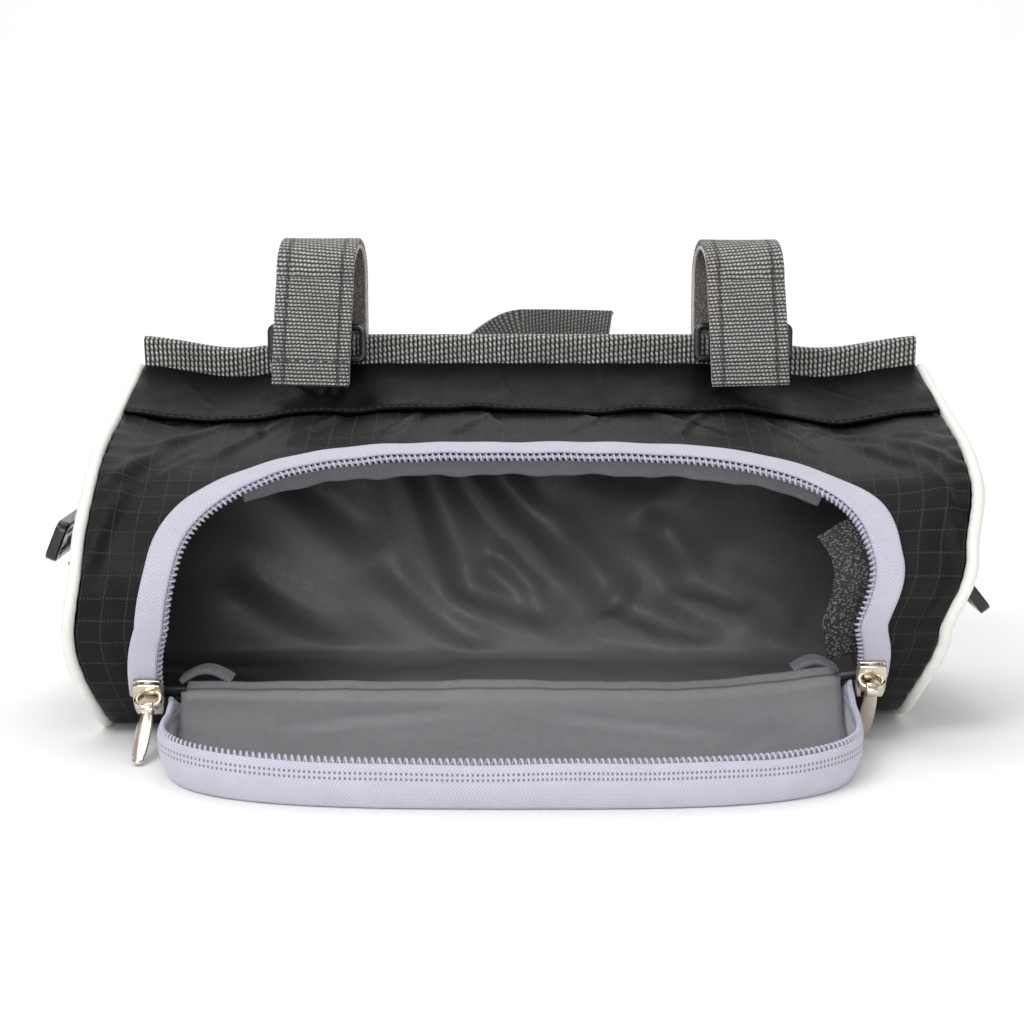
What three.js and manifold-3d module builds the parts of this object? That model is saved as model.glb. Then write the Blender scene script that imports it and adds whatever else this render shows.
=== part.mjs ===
// A handlebar bag: a soft D-shaped roll with a U-zipped door standing open at the front.
// Millimetres. X runs along the handlebar, -Y is the door side, +Z is up, and the floor is Z = 0.
import * as THREE from "three";
import Module from "manifold-3d";

const wasm = await Module();
wasm.setup();

// Main form
const halfWidth = 132; // middle of the bag to an end seam
const bagDepth = 101; // belly of the front to the back panel
const bagHeight = 104; // floor to the foot of the rim
const backFace = 48; // Y of the outside of the back panel
const rimHeight = 9.6; // the bound rim above the wrap
const bindingWebbing = 1.5;
const clothThick = 1.6; // coated cloth with its thin foam
const liningThick = 1;
const seamGap = 0.3; // between two sewn layers
const liningGap = 0.8; // between the outer cloth and the lining at the back and base
const liningSlack = 1.8; // further in behind the front, clear of its folds
const liftOverFolds = 1.1; // the zip tape rides this far over the wrap
const heelGap = 1; // the wrap stops short of the back panel

// Piping and end panels
const pipingRadius = 1.9;
const pipingProud = 1.3; // how far the cord stands out of the wrap
const bulgeLeft = 4;
const bulgeRight = 14;
const cornerLift = 8; // the right lower corner hangs higher
const dipDepth = 4.5; // the two dips of the rim
const dipHalf = 22;
const dipLeft = -98;
const dipRight = 98;
const outlineFront = 27; // steps of an end's outline, round the front and up the back
const outlineBack = 6;

// U-shaped opening
const openingHalf = 106; // at the zip line
const openingFlare = 6; // wider by this much at the hinge
const openingCorner = 60; // run of a rounded upper corner, down the front
const tapeWidth = 6.5; // lavender tape outside the zip line
const tapeThick = 0.8;
const coilWidth = 2.6;
const coilThick = 1.6;
const tapeLap = 2.1; // tape carried past the zip line, over the coil
const bindingDrop = 4.4; // grey seam binding that hangs inside the top
const bindingThick = 0.8;
const bindingFrom = 12; // sections of the zip line left free of it at each end
const meshWidth = 12; // mesh strip inside the right side

// Door, folded down and forward
const doorInset = 4.5; // narrower than the opening on each side
const doorHalf = openingHalf - doorInset;
const doorFlare = 2;
const doorReach = 67; // hinge to front edge
const doorCorner = 48;
const doorRun = 46; // length over which it comes down to the floor
const doorClear = 0.4; // lowest cloth above the floor
const wallHeight = 11; // the door's zip tape stands up by this much
const wallLean = 2.5;
const coilFree = 2; // sections of the door line left without coil at each end

// Top band over the upper front
const bandLap = 3; // past the hem row
const bandThick = 1.2;

// Handlebar straps
const strapWidth = 25;
const strapThick = 2;
const strapLinerThick = 1.1;
const strapPlaceLeft = -69;
const strapPlaceRight = 73;
const loopHeight = 33; // inner loop above the rim
const loopDepth = 22; // between the front and back plies at the top
const strapTail = 25; // free end, forward of the rim's foot
const strapRoot = 34; // sewn end on the back panel, below the rim's foot
const strapTwist = 4; // the back ply stands this much nearer the middle
const ringWall = 2.4;
const ringClear = 1.5; // ring's slot past each edge of the strap
const ringHeight = 13;
const ringStandOff = 1.3; // clear of the binding and the band

// Stem strap behind the rim
const stemWidth = 20;
const stemLeft = -24;
const stemRight = 29;
const stemRise = 12; // the top edge climbs by this much
const stemBulge = 11; // and the loop stands off the back by this much
const stemDrop = 13; // middle of its sewn end, below the top of the rim
const stemThick = 1.6;

// End hardware
const tabWidth = 25;
const tabThick = 1.6;
const lockLength = 13;
const lockThick = 3.6;
const lockWall = 2.6;
const tabBaseLeft = 54; // height of the left lock above the floor
const tabBaseRight = 37;
const tabStandLeft = 9; // how far the left webbing stands off the end panel
const tabStandRight = 5;
const tabClear = 0.5; // over the swell of the end panel
const tabReachLow = 16; // webbing below the lock
const tabReachHigh = 10; // webbing above it
const tabTuck = 1;
const tabLap = 3;

// Sliders and pull tabs
const sliderWidth = 9;
const sliderLength = 11;
const sliderThick = 3.2;
const bridgeHeight = 3.4;
const bridgeRadius = 0.8;
const pullEyeRadius = 1.15;
const pullWidth = 5;
const pullLength = 21;
const pullThick = 1.4;
const pullRestLeft = 34; // degrees below level, forwards
const pullRestRight = 125; // so this one hangs down and a little back
const sliderUp = 3.5; // middle of a slider above the hinge
const zipStop = 1.2; // tape and coil stop short of the hinge

// Bound seam ends inside, beside the hinge
const seamTabThick = 1.8;
const seamTabWidth = 8;
const seamTabLength = 14;
const seamTabRise = 3; // of its folded middle
const seamTabDropLeft = 0.5; // in from the lining
const seamTabDropRight = 1.4;

const rightAngle = Math.PI / 2;

// Places down the wrap, from the foot of the rim to the back edge of the base.
// depth is a share of bagDepth behind the belly, height a share of bagHeight.
const wrapRows = [
  { place: "rim", depth: 0.955, height: 1 },
  { place: "crown", depth: 0.8, height: 0.955 },
  { place: "hem", depth: 0.6, height: 0.9 },
  { place: "zip", depth: 0.275, height: 0.808 },
  { place: "shoulder", depth: 0.1, height: 0.685 },
  { place: "belly", depth: 0, height: 0.47 },
  { place: "low", depth: 0.025, height: 0.27 },
  { place: "hinge", depth: 0.09, height: 0.12 },
  { place: "toe", depth: 0.23, height: 0.015 },
  { place: "sole", depth: 0.4, height: 0 },
  { place: "mid", depth: 0.66, height: 0 },
  { place: "heel", depth: 0.92, height: 0 },
];
const backRows = [
  { place: "round", depth: 0.985, height: 0.05 },
  { place: "low", depth: 1, height: 0.2 },
  { place: "middle", depth: 1, height: 0.55 },
  { place: "top", depth: 0.985, height: 1 },
];

// How far each end seam stands past halfWidth, as a share of it, by height.
const endRows = [
  { height: 0, left: -0.03, right: -0.115 },
  { height: 0.3, left: 0.015, right: -0.07 },
  { height: 0.55, left: -0.01, right: -0.015 },
  { height: 0.75, left: -0.022, right: 0.015 },
  { height: 1.1, left: -0.02, right: 0.012 },
];

// Soft dents and ridges: across is a share of halfWidth, down a share of the wrap,
// wide and long are the same shares, and lift is in shares of bagDepth.
const foldRows = [
  { across: -0.88, down: 0.3, wide: 0.05, long: 0.16, lift: -0.016 },
  { across: -0.72, down: 0.16, wide: 0.05, long: 0.1, lift: 0.012 },
  { across: -0.42, down: 0.14, wide: 0.05, long: 0.07, lift: -0.01 },
  { across: -0.12, down: 0.17, wide: 0.05, long: 0.05, lift: 0.009 },
  { across: 0.18, down: 0.15, wide: 0.05, long: 0.06, lift: -0.009 },
  { across: 0.5, down: 0.17, wide: 0.06, long: 0.06, lift: 0.01 },
  { across: 0.74, down: 0.2, wide: 0.06, long: 0.1, lift: -0.014 },
  { across: 0.9, down: 0.3, wide: 0.05, long: 0.14, lift: 0.014 },
];

function smooth(t) {
  const c = Math.min(Math.max(t, 0), 1);
  return c * c * (3 - 2 * c);
}

// A polyline with its arc length, looked up by distance.
function measuredPath(points) {
  const along = [0];
  for (let i = 1; i < points.length; i += 1) {
    along.push(along[i - 1] + points[i].distanceTo(points[i - 1]));
  }
  const length = along[along.length - 1];
  function at(s) {
    const d = Math.min(Math.max(s, 0), length);
    let i = 1;
    while (i < along.length - 1 && along[i] < d) i += 1;
    const t = (d - along[i - 1]) / (along[i] - along[i - 1]);
    const point = points[i - 1].clone().lerp(points[i], t);
    const before = points[Math.max(i - 2, 0)];
    const after = points[Math.min(i + 1, points.length - 1)];
    const tangent = after.clone().sub(before).normalize();
    return { point, tangent, beyond: s - d };
  }
  return { at, length, points, along };
}

function rowPoint(row) {
  return new THREE.Vector3(0, backFace - bagDepth * (1 - row.depth), row.height * bagHeight);
}

function splinePath(rows, steps) {
  const curve = new THREE.CatmullRomCurve3(rows.map(rowPoint), false, "centripetal");
  const points = curve.getSpacedPoints(steps);
  for (const p of points) p.z = Math.max(p.z, 0);
  return measuredPath(points);
}

const wrapPath = splinePath(wrapRows, 260);

// Arc length from the rim to a named row of the wrap.
function placeOn(name) {
  const goal = rowPoint(wrapRows.find((row) => row.place === name));
  let best = 0;
  wrapPath.points.forEach((p, i) => {
    if (p.distanceTo(goal) < wrapPath.points[best].distanceTo(goal)) best = i;
  });
  return wrapPath.along[best];
}

const hemAt = placeOn("hem");
const zipAt = placeOn("zip");
const hingeAt = placeOn("hinge");
const wrapLength = wrapPath.length;

function endShare(side, height) {
  const key = side < 0 ? "left" : "right";
  const h = Math.min(Math.max(height, 0), endRows[endRows.length - 1].height);
  let i = 1;
  while (i < endRows.length - 1 && endRows[i].height < h) i += 1;
  const low = endRows[i - 1];
  const high = endRows[i];
  return THREE.MathUtils.lerp(low[key], high[key], smooth((h - low.height) / (high.height - low.height)));
}

// The right lower corner, off the floor at the front only.
function cornerRaise(side, y, height) {
  return cornerLift * smooth((side - 0.35) / 0.65) * (1 - smooth(height / 0.5)) * smooth((-2 * y) / bagDepth);
}

// Moves a point of the plain roll to where the soft bag has it: ends, rim dips and corner.
function settle(x, y, z) {
  const height = z / bagHeight;
  const side = x / halfWidth;
  const dips = [dipLeft, dipRight].map((place) => Math.exp(-(((x - place) / dipHalf) ** 2)));
  const sink = dipDepth * (dips[0] + dips[1]) * smooth((height - 0.5) / 0.5);
  return new THREE.Vector3(x * (1 + endShare(side, height)), y, z - sink + cornerRaise(side, y, height));
}

// The bag's front skin: x across, s down from the rim, lift along the outward normal.
function skin(x, s, lift) {
  const { point, tangent, beyond } = wrapPath.at(s);
  let fold = 0;
  for (const row of foldRows) {
    const a = (x / halfWidth - row.across) / row.wide;
    const b = (s / wrapLength - row.down) / row.long;
    fold += row.lift * bagDepth * Math.exp(-a * a - b * b);
  }
  const out = lift + fold;
  const y = point.y + tangent.y * beyond + tangent.z * out;
  const z = point.z + tangent.z * beyond - tangent.y * out;
  return settle(x, y, z);
}

// Bodies are built from a list of corner triples, with shared corners merged.
function solidFrom(triangles) {
  const keys = new Map();
  const corners = [];
  const faces = [];
  const indexOf = (v) => {
    const key = `${v.x.toFixed(4)},${v.y.toFixed(4)},${v.z.toFixed(4)}`;
    if (!keys.has(key)) {
      keys.set(key, corners.length / 3);
      corners.push(v.x, v.y, v.z);
    }
    return keys.get(key);
  };
  for (const triangle of triangles) {
    const [a, b, c] = triangle.map(indexOf);
    if (a !== b && b !== c && a !== c) faces.push(a, b, c);
  }
  const make = (order) =>
    new wasm.Manifold(
      new wasm.Mesh({ numProp: 3, vertProperties: new Float32Array(corners), triVerts: new Uint32Array(order) }),
    );
  const made = make(faces);
  if (made.volume() > 0) return made;
  const turned = [];
  for (let i = 0; i < faces.length; i += 3) turned.push(faces[i], faces[i + 2], faces[i + 1]);
  return make(turned);
}

function quad(list, a, b, c, d) {
  list.push([a, b, c], [a, c, d]);
}

// A wall between two grids of points. A ring wall joins its last column to its first.
function wallSolid(outer, inner, ring = false) {
  const list = [];
  const rows = outer.length;
  const columns = outer[0].length;
  const last = ring ? columns : columns - 1;
  for (let i = 0; i < rows - 1; i += 1) {
    for (let j = 0; j < last; j += 1) {
      const k = (j + 1) % columns;
      quad(list, outer[i][j], outer[i][k], outer[i + 1][k], outer[i + 1][j]);
      quad(list, inner[i][j], inner[i + 1][j], inner[i + 1][k], inner[i][k]);
    }
    if (!ring) {
      quad(list, outer[i][0], outer[i + 1][0], inner[i + 1][0], inner[i][0]);
      quad(list, outer[i][last], inner[i][last], inner[i + 1][last], outer[i + 1][last]);
    }
  }
  for (let j = 0; j < last; j += 1) {
    const k = (j + 1) % columns;
    quad(list, outer[0][j], inner[0][j], inner[0][k], outer[0][k]);
    quad(list, outer[rows - 1][j], outer[rows - 1][k], inner[rows - 1][k], inner[rows - 1][j]);
  }
  return solidFrom(list);
}

// A body lofted through closed convex rings, open ended with flat caps, or joined into a loop.
function loftSolid(rings, loop = false) {
  const list = [];
  const count = rings[0].length;
  const last = loop ? rings.length : rings.length - 1;
  for (let i = 0; i < last; i += 1) {
    const next = rings[(i + 1) % rings.length];
    for (let j = 0; j < count; j += 1) {
      const k = (j + 1) % count;
      quad(list, rings[i][j], rings[i][k], next[k], next[j]);
    }
  }
  if (!loop) {
    for (let j = 1; j < count - 1; j += 1) {
      list.push([rings[0][0], rings[0][j + 1], rings[0][j]]);
      const end = rings[rings.length - 1];
      list.push([end[0], end[j], end[j + 1]]);
    }
  }
  return solidFrom(list);
}

function steps(from, to, count) {
  return Array.from({ length: count + 1 }, (_, i) => from + ((to - from) * i) / count);
}

// A standard three.js geometry as a solid, after its own transform.
function solidOf(geometry, matrix) {
  const flat = (geometry.index ? geometry.toNonIndexed() : geometry).applyMatrix4(matrix);
  const place = flat.getAttribute("position");
  const list = [];
  for (let i = 0; i < place.count; i += 3) {
    list.push([0, 1, 2].map((k) => new THREE.Vector3().fromBufferAttribute(place, i + k)));
  }
  return solidFrom(list);
}

const group = new THREE.Group();
const materials = {
  ripstop: { color: 0x17171a, roughness: 0.62, metalness: 0 },
  lining: { color: 0x55545a, roughness: 0.5, metalness: 0 },
  zipTape: { color: 0xa9a8bc, roughness: 0.8, metalness: 0 },
  zipCoil: { color: 0xb9b8c8, roughness: 0.35, metalness: 0 },
  piping: { color: 0xe6e5e0, roughness: 0.55, metalness: 0 },
  webbing: { color: 0x4c4b4e, roughness: 0.85, metalness: 0 },
  hookTape: { color: 0x8b8482, roughness: 0.9, metalness: 0 },
  mesh: { color: 0x3a3a3d, roughness: 0.9, metalness: 0 },
  plastic: { color: 0x151516, roughness: 0.4, metalness: 0 },
  metal: { color: 0xcabfae, roughness: 0.25, metalness: 1 },
};

function place(name, solid, look) {
  const mesh = solid.getMesh();
  const geometry = new THREE.BufferGeometry();
  geometry.setAttribute("position", new THREE.BufferAttribute(new Float32Array(mesh.vertProperties), 3));
  geometry.setIndex(new THREE.BufferAttribute(new Uint32Array(mesh.triVerts), 1));
  geometry.computeVertexNormals();
  const piece = new THREE.Mesh(geometry, new THREE.MeshStandardMaterial(materials[look]));
  piece.name = name;
  group.add(piece);
}

// The U line in (x, s): up the left side, round the top and down the right side.
// power 3 is a squarish corner, 2 an ellipse.
function uLine({ half, flare, corner, top, bottom, power, cornerSteps, sideSteps }) {
  const line = [];
  const straight = bottom - top - corner;
  const widen = (s) => (flare * Math.max(s - top - corner, 0)) / straight;
  for (const s of steps(bottom, top + corner, sideSteps)) line.push([-(half + widen(s)), s]);
  for (const angle of steps(-rightAngle, rightAngle, cornerSteps * 2).slice(1, -1)) {
    const sine = Math.sin(angle);
    const x = Math.sign(sine) * half * Math.abs(sine) ** (2 / power);
    line.push([x, top + corner * (1 - Math.cos(angle) ** (2 / power))]);
  }
  for (const s of steps(top + corner, bottom, sideSteps)) line.push([half + widen(s), s]);
  return line.map(([x, s], i) => {
    const before = line[Math.max(i - 1, 0)];
    const after = line[Math.min(i + 1, line.length - 1)];
    const run = Math.hypot(after[0] - before[0], after[1] - before[1]);
    return { x, s, nx: (after[1] - before[1]) / run, ns: -(after[0] - before[0]) / run };
  });
}

// A strip along the U line: a four-sided section between two offsets and two lifts. near and
// far hold the offset at the low and the high side, and low and high are functions of s.
function uStrip(line, surface, near, far, low, high) {
  const rings = line.map(({ x, s, nx, ns }) =>
    [
      [near[0], low(s)],
      [far[0], low(s)],
      [far[1], high(s)],
      [near[1], high(s)],
    ].map(([offset, lift]) => surface(x + nx * offset, s + ns * offset, lift)),
  );
  return loftSolid(rings);
}

const zipLine = uLine({
  half: openingHalf,
  flare: openingFlare,
  corner: openingCorner,
  top: zipAt,
  bottom: hingeAt - zipStop,
  power: 3,
  cornerSteps: 12,
  sideSteps: 6,
});

function openingCutter() {
  const half = (zipLine.length - 1) / 2;
  const rows = zipLine.slice(0, half).reverse();
  rows.unshift({ x: rows[0].x / 20, s: zipAt });
  rows.push({ x: rows[rows.length - 1].x, s: hingeAt });
  const grid = (lift) =>
    rows.map(({ x, s }) => steps(x, -x, 12).map((across) => skin(across, s, lift)));
  return wallSolid(grid(clothThick * 3), grid(-clothThick * 6));
}

const cutter = openingCutter();
const seamInset = pipingRadius + seamGap * 1.7;
const endX = halfWidth - seamInset;
const acrossWrap = steps(-endX, endX, 24);
const bandDown = steps(seamGap, hemAt + bandLap, 4);

function buildWrap() {
  const down = bandDown.concat(steps(hemAt + bandLap, wrapLength - heelGap, 22).slice(1));
  const grid = (lift) => down.map((s) => acrossWrap.map((x) => skin(x, s, lift)));
  place("wrap_panel", wallSolid(grid(0), grid(-clothThick)).subtract(cutter), "ripstop");
}

function buildBand() {
  const grid = (lift) => bandDown.map((s) => acrossWrap.map((x) => skin(x, s, lift)));
  place("top_band", wallSolid(grid(seamGap + bandThick), grid(seamGap)), "ripstop");
}

// The back panel, from the base up through the bound rim.
const backPath = splinePath(
  [{ depth: 0.92, height: 0 }, ...backRows, { depth: 0.975, height: 1 + rimHeight / bagHeight }],
  90,
);

function backSkin(x, s, lift) {
  const { point, tangent, beyond } = backPath.at(s);
  const y = point.y + tangent.y * beyond + tangent.z * lift;
  const z = point.z + tangent.z * beyond - tangent.y * lift;
  return settle(x, y, Math.max(z, 0));
}

function buildBack() {
  const up = [...steps(seamGap, backPath.length - rimHeight, outlineBack), backPath.length];
  const grid = (lift) => up.map((s) => acrossWrap.map((x) => backSkin(x, s, lift)));
  place("back_panel", wallSolid(grid(0), grid(-clothThick)), "ripstop");
}

// Grey webbing folded over the top edge of the back panel.
function buildRimBinding() {
  const webbing = bindingWebbing;
  const front = clothThick + seamGap;
  const top = backPath.length + seamGap;
  const foot = backPath.length - rimHeight + seamGap * 2;
  const inner = [
    [foot, -front],
    [top, -front],
    [top, seamGap],
    [foot, seamGap],
  ];
  const outer = [
    [foot, -front - webbing],
    [top + webbing, -front - webbing],
    [top + webbing, seamGap + webbing],
    [foot, seamGap + webbing],
  ];
  const grid = (path) => path.map(([s, lift]) => acrossWrap.map((x) => backSkin(x, s, lift)));
  place("rim_binding", wallSolid(grid(outer), grid(inner)), "webbing");
}

// The closed D outline of an end, moved out by lift.
function endOutline(x, lift, slack = () => 0) {
  const front = steps(0, wrapLength - heelGap * 2, outlineFront).map((s) => skin(x, s, lift - slack(s)));
  const back = steps(seamGap, backPath.length - rimHeight, outlineBack);
  return front.concat(back.slice(1).map((s) => backSkin(x, s, lift)));
}

const endShares = [1, 0.8, 0.45, 0]; // rings of an end panel, from its rim to its middle

function centreOf(ring) {
  return ring.reduce((sum, p) => sum.add(p), new THREE.Vector3()).divideScalar(ring.length);
}

function endRim(side) {
  const inset = pipingRadius * 2 - pipingProud + seamGap;
  const rim = endOutline(side * halfWidth, -inset);
  for (const p of rim) p.z = Math.max(p.z, 2 * pipingRadius + 3 * seamGap);
  return rim;
}

// A spot of the swelling end panel, share of the way from its middle to a rim point.
function endSpot(side, bulge, middle, p, share) {
  const spot = middle.clone().lerp(p, share);
  spot.x += side * bulge * (1 - share * share) * smooth(spot.z / (bagHeight * 0.7));
  return spot;
}

function buildEnd(side, name, bulge) {
  const rim = endRim(side);
  const middle = centreOf(rim);
  const grid = (depth) =>
    endShares.map((share) =>
      rim.map((p) => {
        const spot = endSpot(side, bulge, middle, p, share);
        spot.x -= side * depth;
        return spot;
      }),
    );
  place(`end_panel_${name}`, wallSolid(grid(0), grid(clothThick), true), "ripstop");
}

function tube(points, radius, sides) {
  const rings = points.map((p, i) => {
    const before = points[(i - 1 + points.length) % points.length];
    const after = points[(i + 1) % points.length];
    const tangent = after.clone().sub(before).normalize();
    const across = new THREE.Vector3(1, 0, 0).addScaledVector(tangent, -tangent.x).normalize();
    const up = tangent.clone().cross(across);
    return steps(0, 2 * Math.PI, sides)
      .slice(0, -1)
      .map((a) =>
        p.clone().addScaledVector(across, radius * Math.cos(a)).addScaledVector(up, radius * Math.sin(a)),
      );
  });
  return loftSolid(rings, true);
}

function buildPiping(side, name) {
  const outline = endOutline(side * halfWidth, pipingProud - pipingRadius);
  for (const p of outline) p.z = Math.max(p.z, pipingRadius + seamGap);
  place(`piping_${name}`, tube(outline, pipingRadius, 8), "piping");
}

// The lining is a tub of its own, open where the door is.
function buildLining() {
  const slack = (s) => liningSlack * (1 - smooth((s - hingeAt) / clothThick / 10));
  const bag = (lift, reach) => {
    const rings = steps(-reach, reach, 8).map((x) => endOutline(x, lift, slack));
    const list = [];
    rings.slice(0, -1).forEach((ring, i) => {
      ring.forEach((p, j) => {
        const k = (j + 1) % ring.length;
        quad(list, p, ring[k], rings[i + 1][k], rings[i + 1][j]);
      });
    });
    for (const [ring, turned] of [
      [rings[0], true],
      [rings[rings.length - 1], false],
    ]) {
      const middle = centreOf(ring);
      ring.forEach((p, j) => {
        const next = ring[(j + 1) % ring.length];
        list.push(turned ? [middle, next, p] : [middle, p, next]);
      });
    }
    return solidFrom(list);
  };
  const outside = clothThick + liningGap;
  const reach = halfWidth - clothThick - liningGap * 4;
  const tub = bag(-outside, reach).subtract(bag(-outside - liningThick, reach - liningThick));
  place("lining", tub.subtract(cutter), "lining");
}

function buildZip() {
  const coilLow = -coilThick;
  const tapeLow = () => liftOverFolds;
  const tapeHigh = () => liftOverFolds + tapeThick;
  const tapeNear = [-tapeLap, -tapeLap];
  place("zip_tape", uStrip(zipLine, skin, tapeNear, [tapeWidth, tapeWidth], tapeLow, tapeHigh), "zipTape");
  const coilFar = -seamGap;
  const coilNear = coilFar - coilWidth;
  place("zip_coil", uStrip(zipLine, skin, [coilNear, coilNear], [coilFar, coilFar], () => coilLow, () => 0), "zipCoil");
  const topPart = zipLine.slice(bindingFrom, -bindingFrom);
  const near = coilFar - bindingThick;
  const hangFrom = coilLow - seamGap;
  place(
    "inner_binding",
    uStrip(topPart, skin, [near, near], [coilFar, coilFar], () => hangFrom - bindingDrop, () => hangFrom),
    "webbing",
  );
  const rightSide = zipLine.slice(-bindingFrom, -2);
  const meshTop = -clothThick - liningGap - liningSlack - liningThick - seamGap;
  place(
    "mesh_strip",
    uStrip(rightSide, skin, [-meshWidth, -meshWidth], [0, 0], () => meshTop - bindingThick, () => meshTop),
    "mesh",
  );
}

// The door leaves the hinge, comes down in a soft curve and lies just above the floor.
const hinge = wrapPath.at(hingeAt).point;
const doorLow = doorClear + clothThick;
const doorPath = measuredPath(
  steps(0, 1, 60).reduce((points, t, i) => {
    const along = t * doorReach;
    const fall = Math.max(1 - along / doorRun, 0) ** 2;
    const z = doorLow + (hinge.z - doorLow) * fall;
    if (i === 0) return [new THREE.Vector3(0, hinge.y - seamGap, z)];
    const last = points[i - 1];
    const step = doorReach / 60;
    const dz = z - last.z;
    return [...points, new THREE.Vector3(0, last.y - Math.sqrt(step * step - dz * dz), z)];
  }, []),
);

// s runs backwards from the door's front edge, so the same U line serves both zips.
function doorSkin(x, s, lift) {
  const { point, tangent, beyond } = doorPath.at(doorReach - s);
  const y = point.y + tangent.y * beyond + tangent.z * lift;
  const z = point.z + tangent.z * beyond - tangent.y * lift;
  const side = x / halfWidth;
  const nearHinge = smooth(1 - (doorReach - s) / doorRun);
  const height = hinge.z / bagHeight;
  const raise = cornerRaise(side, hinge.y, height) * nearHinge;
  return new THREE.Vector3(x * (1 + endShare(side, height)), y, z + raise);
}

const doorLine = uLine({
  half: doorHalf,
  flare: doorFlare,
  corner: doorCorner,
  top: 0,
  bottom: doorReach - seamGap,
  power: 3.2,
  cornerSteps: 11,
  sideSteps: 3,
});

// The tape's top edge keeps one height while the door under it climbs to the hinge.
function wallTop(s) {
  const climb = doorPath.at(doorReach - s).point.z - doorLow;
  return Math.max(wallHeight - climb, tapeThick * 2);
}

function buildDoor() {
  const half = (doorLine.length - 1) / 2;
  const rows = doorLine.slice(0, half).reverse();
  const grid = (lift) =>
    rows.map(({ x, s }) => steps(x, -x, 12).map((across) => doorSkin(across, s, lift)));
  place("door_panel", wallSolid(grid(0), grid(-clothThick)), "ripstop");
  place("door_lining", wallSolid(grid(seamGap + liningThick), grid(seamGap)), "lining");
  const near = [seamGap, seamGap + wallLean];
  const far = near.map((offset) => offset + tapeThick * 1.5);
  place("door_tape", uStrip(doorLine, doorSkin, near, far, () => -clothThick, wallTop), "zipTape");
  const coilLine = doorLine.slice(coilFree, -coilFree);
  const coilFar = [wallLean * 0.6, wallLean];
  const coilNear = coilFar.map((offset) => offset - coilThick);
  const coilFoot = (s) => wallTop(s) - coilWidth;
  place("door_coil", uStrip(coilLine, doorSkin, coilNear, coilFar, coilFoot, wallTop), "zipCoil");
}

// A flat band along a path in the (y, z) plane: the section is centred on the path.
function bandSolid(path, width, low, high) {
  const rings = path.map((p, i) => {
    const before = path[Math.max(i - 1, 0)].at;
    const after = path[Math.min(i + 1, path.length - 1)].at;
    const tangent = after.clone().sub(before).normalize();
    const out = tangent.clone().cross(p.across).normalize();
    return [
      [-width / 2, low],
      [width / 2, low],
      [width / 2, high],
      [-width / 2, high],
    ].map(([w, lift]) => p.at.clone().addScaledVector(p.across, w).addScaledVector(out, lift));
  });
  return loftSolid(rings);
}

// Up the back panel, over the handlebar and down to a free end on the top band.
function strapPath(x, inward) {
  const backLift = seamGap * 3 + bindingWebbing + strapLinerThick;
  const rimTop = backPath.length;
  const root = steps(rimTop - rimHeight - strapRoot, rimTop - 1, 4).map((s) => backSkin(x, s, backLift));
  const last = root[root.length - 1];
  const end = skin(x, strapTail, bandThick + seamGap * 4 + strapLinerThick);
  const radius = loopDepth / 2;
  const arc = steps(0, Math.PI, 12).map((a) => {
    const y = last.y - radius + radius * Math.cos(a);
    return new THREE.Vector3(x, y, last.z + loopHeight - radius + radius * Math.sin(a));
  });
  const points = root.concat(arc, [0.5, 1].map((share) => arc[arc.length - 1].clone().lerp(end, share)));
  const depth = points.map((p) => THREE.MathUtils.clamp((p.y - end.y) / (last.y - end.y), 0, 1));
  return points.map((p, i) => {
    const turn = (inward * strapTwist) / strapWidth / 3;
    const across = new THREE.Vector3(1, 0, turn * Math.sin(Math.PI * depth[i])).normalize();
    p.x = x + inward * strapTwist * depth[i];
    return { at: p, across };
  });
}

function ringSolid(width, height, wall, thick, matrix) {
  const shape = new THREE.Shape();
  shape.moveTo(-width / 2, -height / 2);
  shape.lineTo(width / 2, -height / 2);
  shape.lineTo(width / 2, height / 2);
  shape.lineTo(-width / 2, height / 2);
  const hole = new THREE.Path();
  const w = width / 2 - wall;
  const h = height / 2 - wall;
  hole.moveTo(-w, -h);
  hole.lineTo(-w, h);
  hole.lineTo(w, h);
  hole.lineTo(w, -h);
  shape.holes.push(hole);
  const geometry = new THREE.ExtrudeGeometry(shape, { depth: thick, bevelEnabled: false });
  geometry.translate(0, 0, -thick / 2);
  return solidOf(geometry, matrix);
}

function buildStrap(x, inward, name) {
  const path = strapPath(x, inward);
  place(`strap_${name}`, bandSolid(path, strapWidth, 0, strapThick), "webbing");
  const inside = -seamGap;
  place(`strap_liner_${name}`, bandSolid(path, strapWidth - 1, inside - strapLinerThick, inside), "hookTape");
  const foot = skin(x, 0, bandThick + seamGap * 2);
  const ringY = backSkin(x, backPath.length - rimHeight, -clothThick - bindingWebbing - seamGap * 2).y;
  const ringAt = new THREE.Matrix4()
    .makeTranslation(x, ringY - ringWall / 2 - ringStandOff, foot.z + ringHeight / 2 + ringStandOff)
    .multiply(new THREE.Matrix4().makeRotationX(rightAngle));
  const width = strapWidth + 2 * (ringClear + ringWall);
  place(`ring_${name}`, ringSolid(width, ringHeight, ringWall, ringWall, ringAt), "plastic");
}

// A low arch of webbing that stands up behind the rim.
function buildStemStrap() {
  const sewn = backSkin(0, backPath.length - stemDrop, seamGap * 2 + bindingWebbing + stemThick);
  const path = steps(0, 1, 14).map((t) => {
    const x = THREE.MathUtils.lerp(stemLeft, stemRight, t);
    const y = sewn.y + stemBulge * Math.sin(Math.PI * 0.8 * t);
    const lean = 0.1 + 0.35 * t;
    const across = new THREE.Vector3(0, Math.sin(lean), Math.cos(lean));
    return { at: new THREE.Vector3(x, y, sewn.z + stemRise * smooth(t * 1.4)), across };
  });
  place("stem_strap", bandSolid(path, stemWidth, 0, stemThick), "webbing");
}

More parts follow.
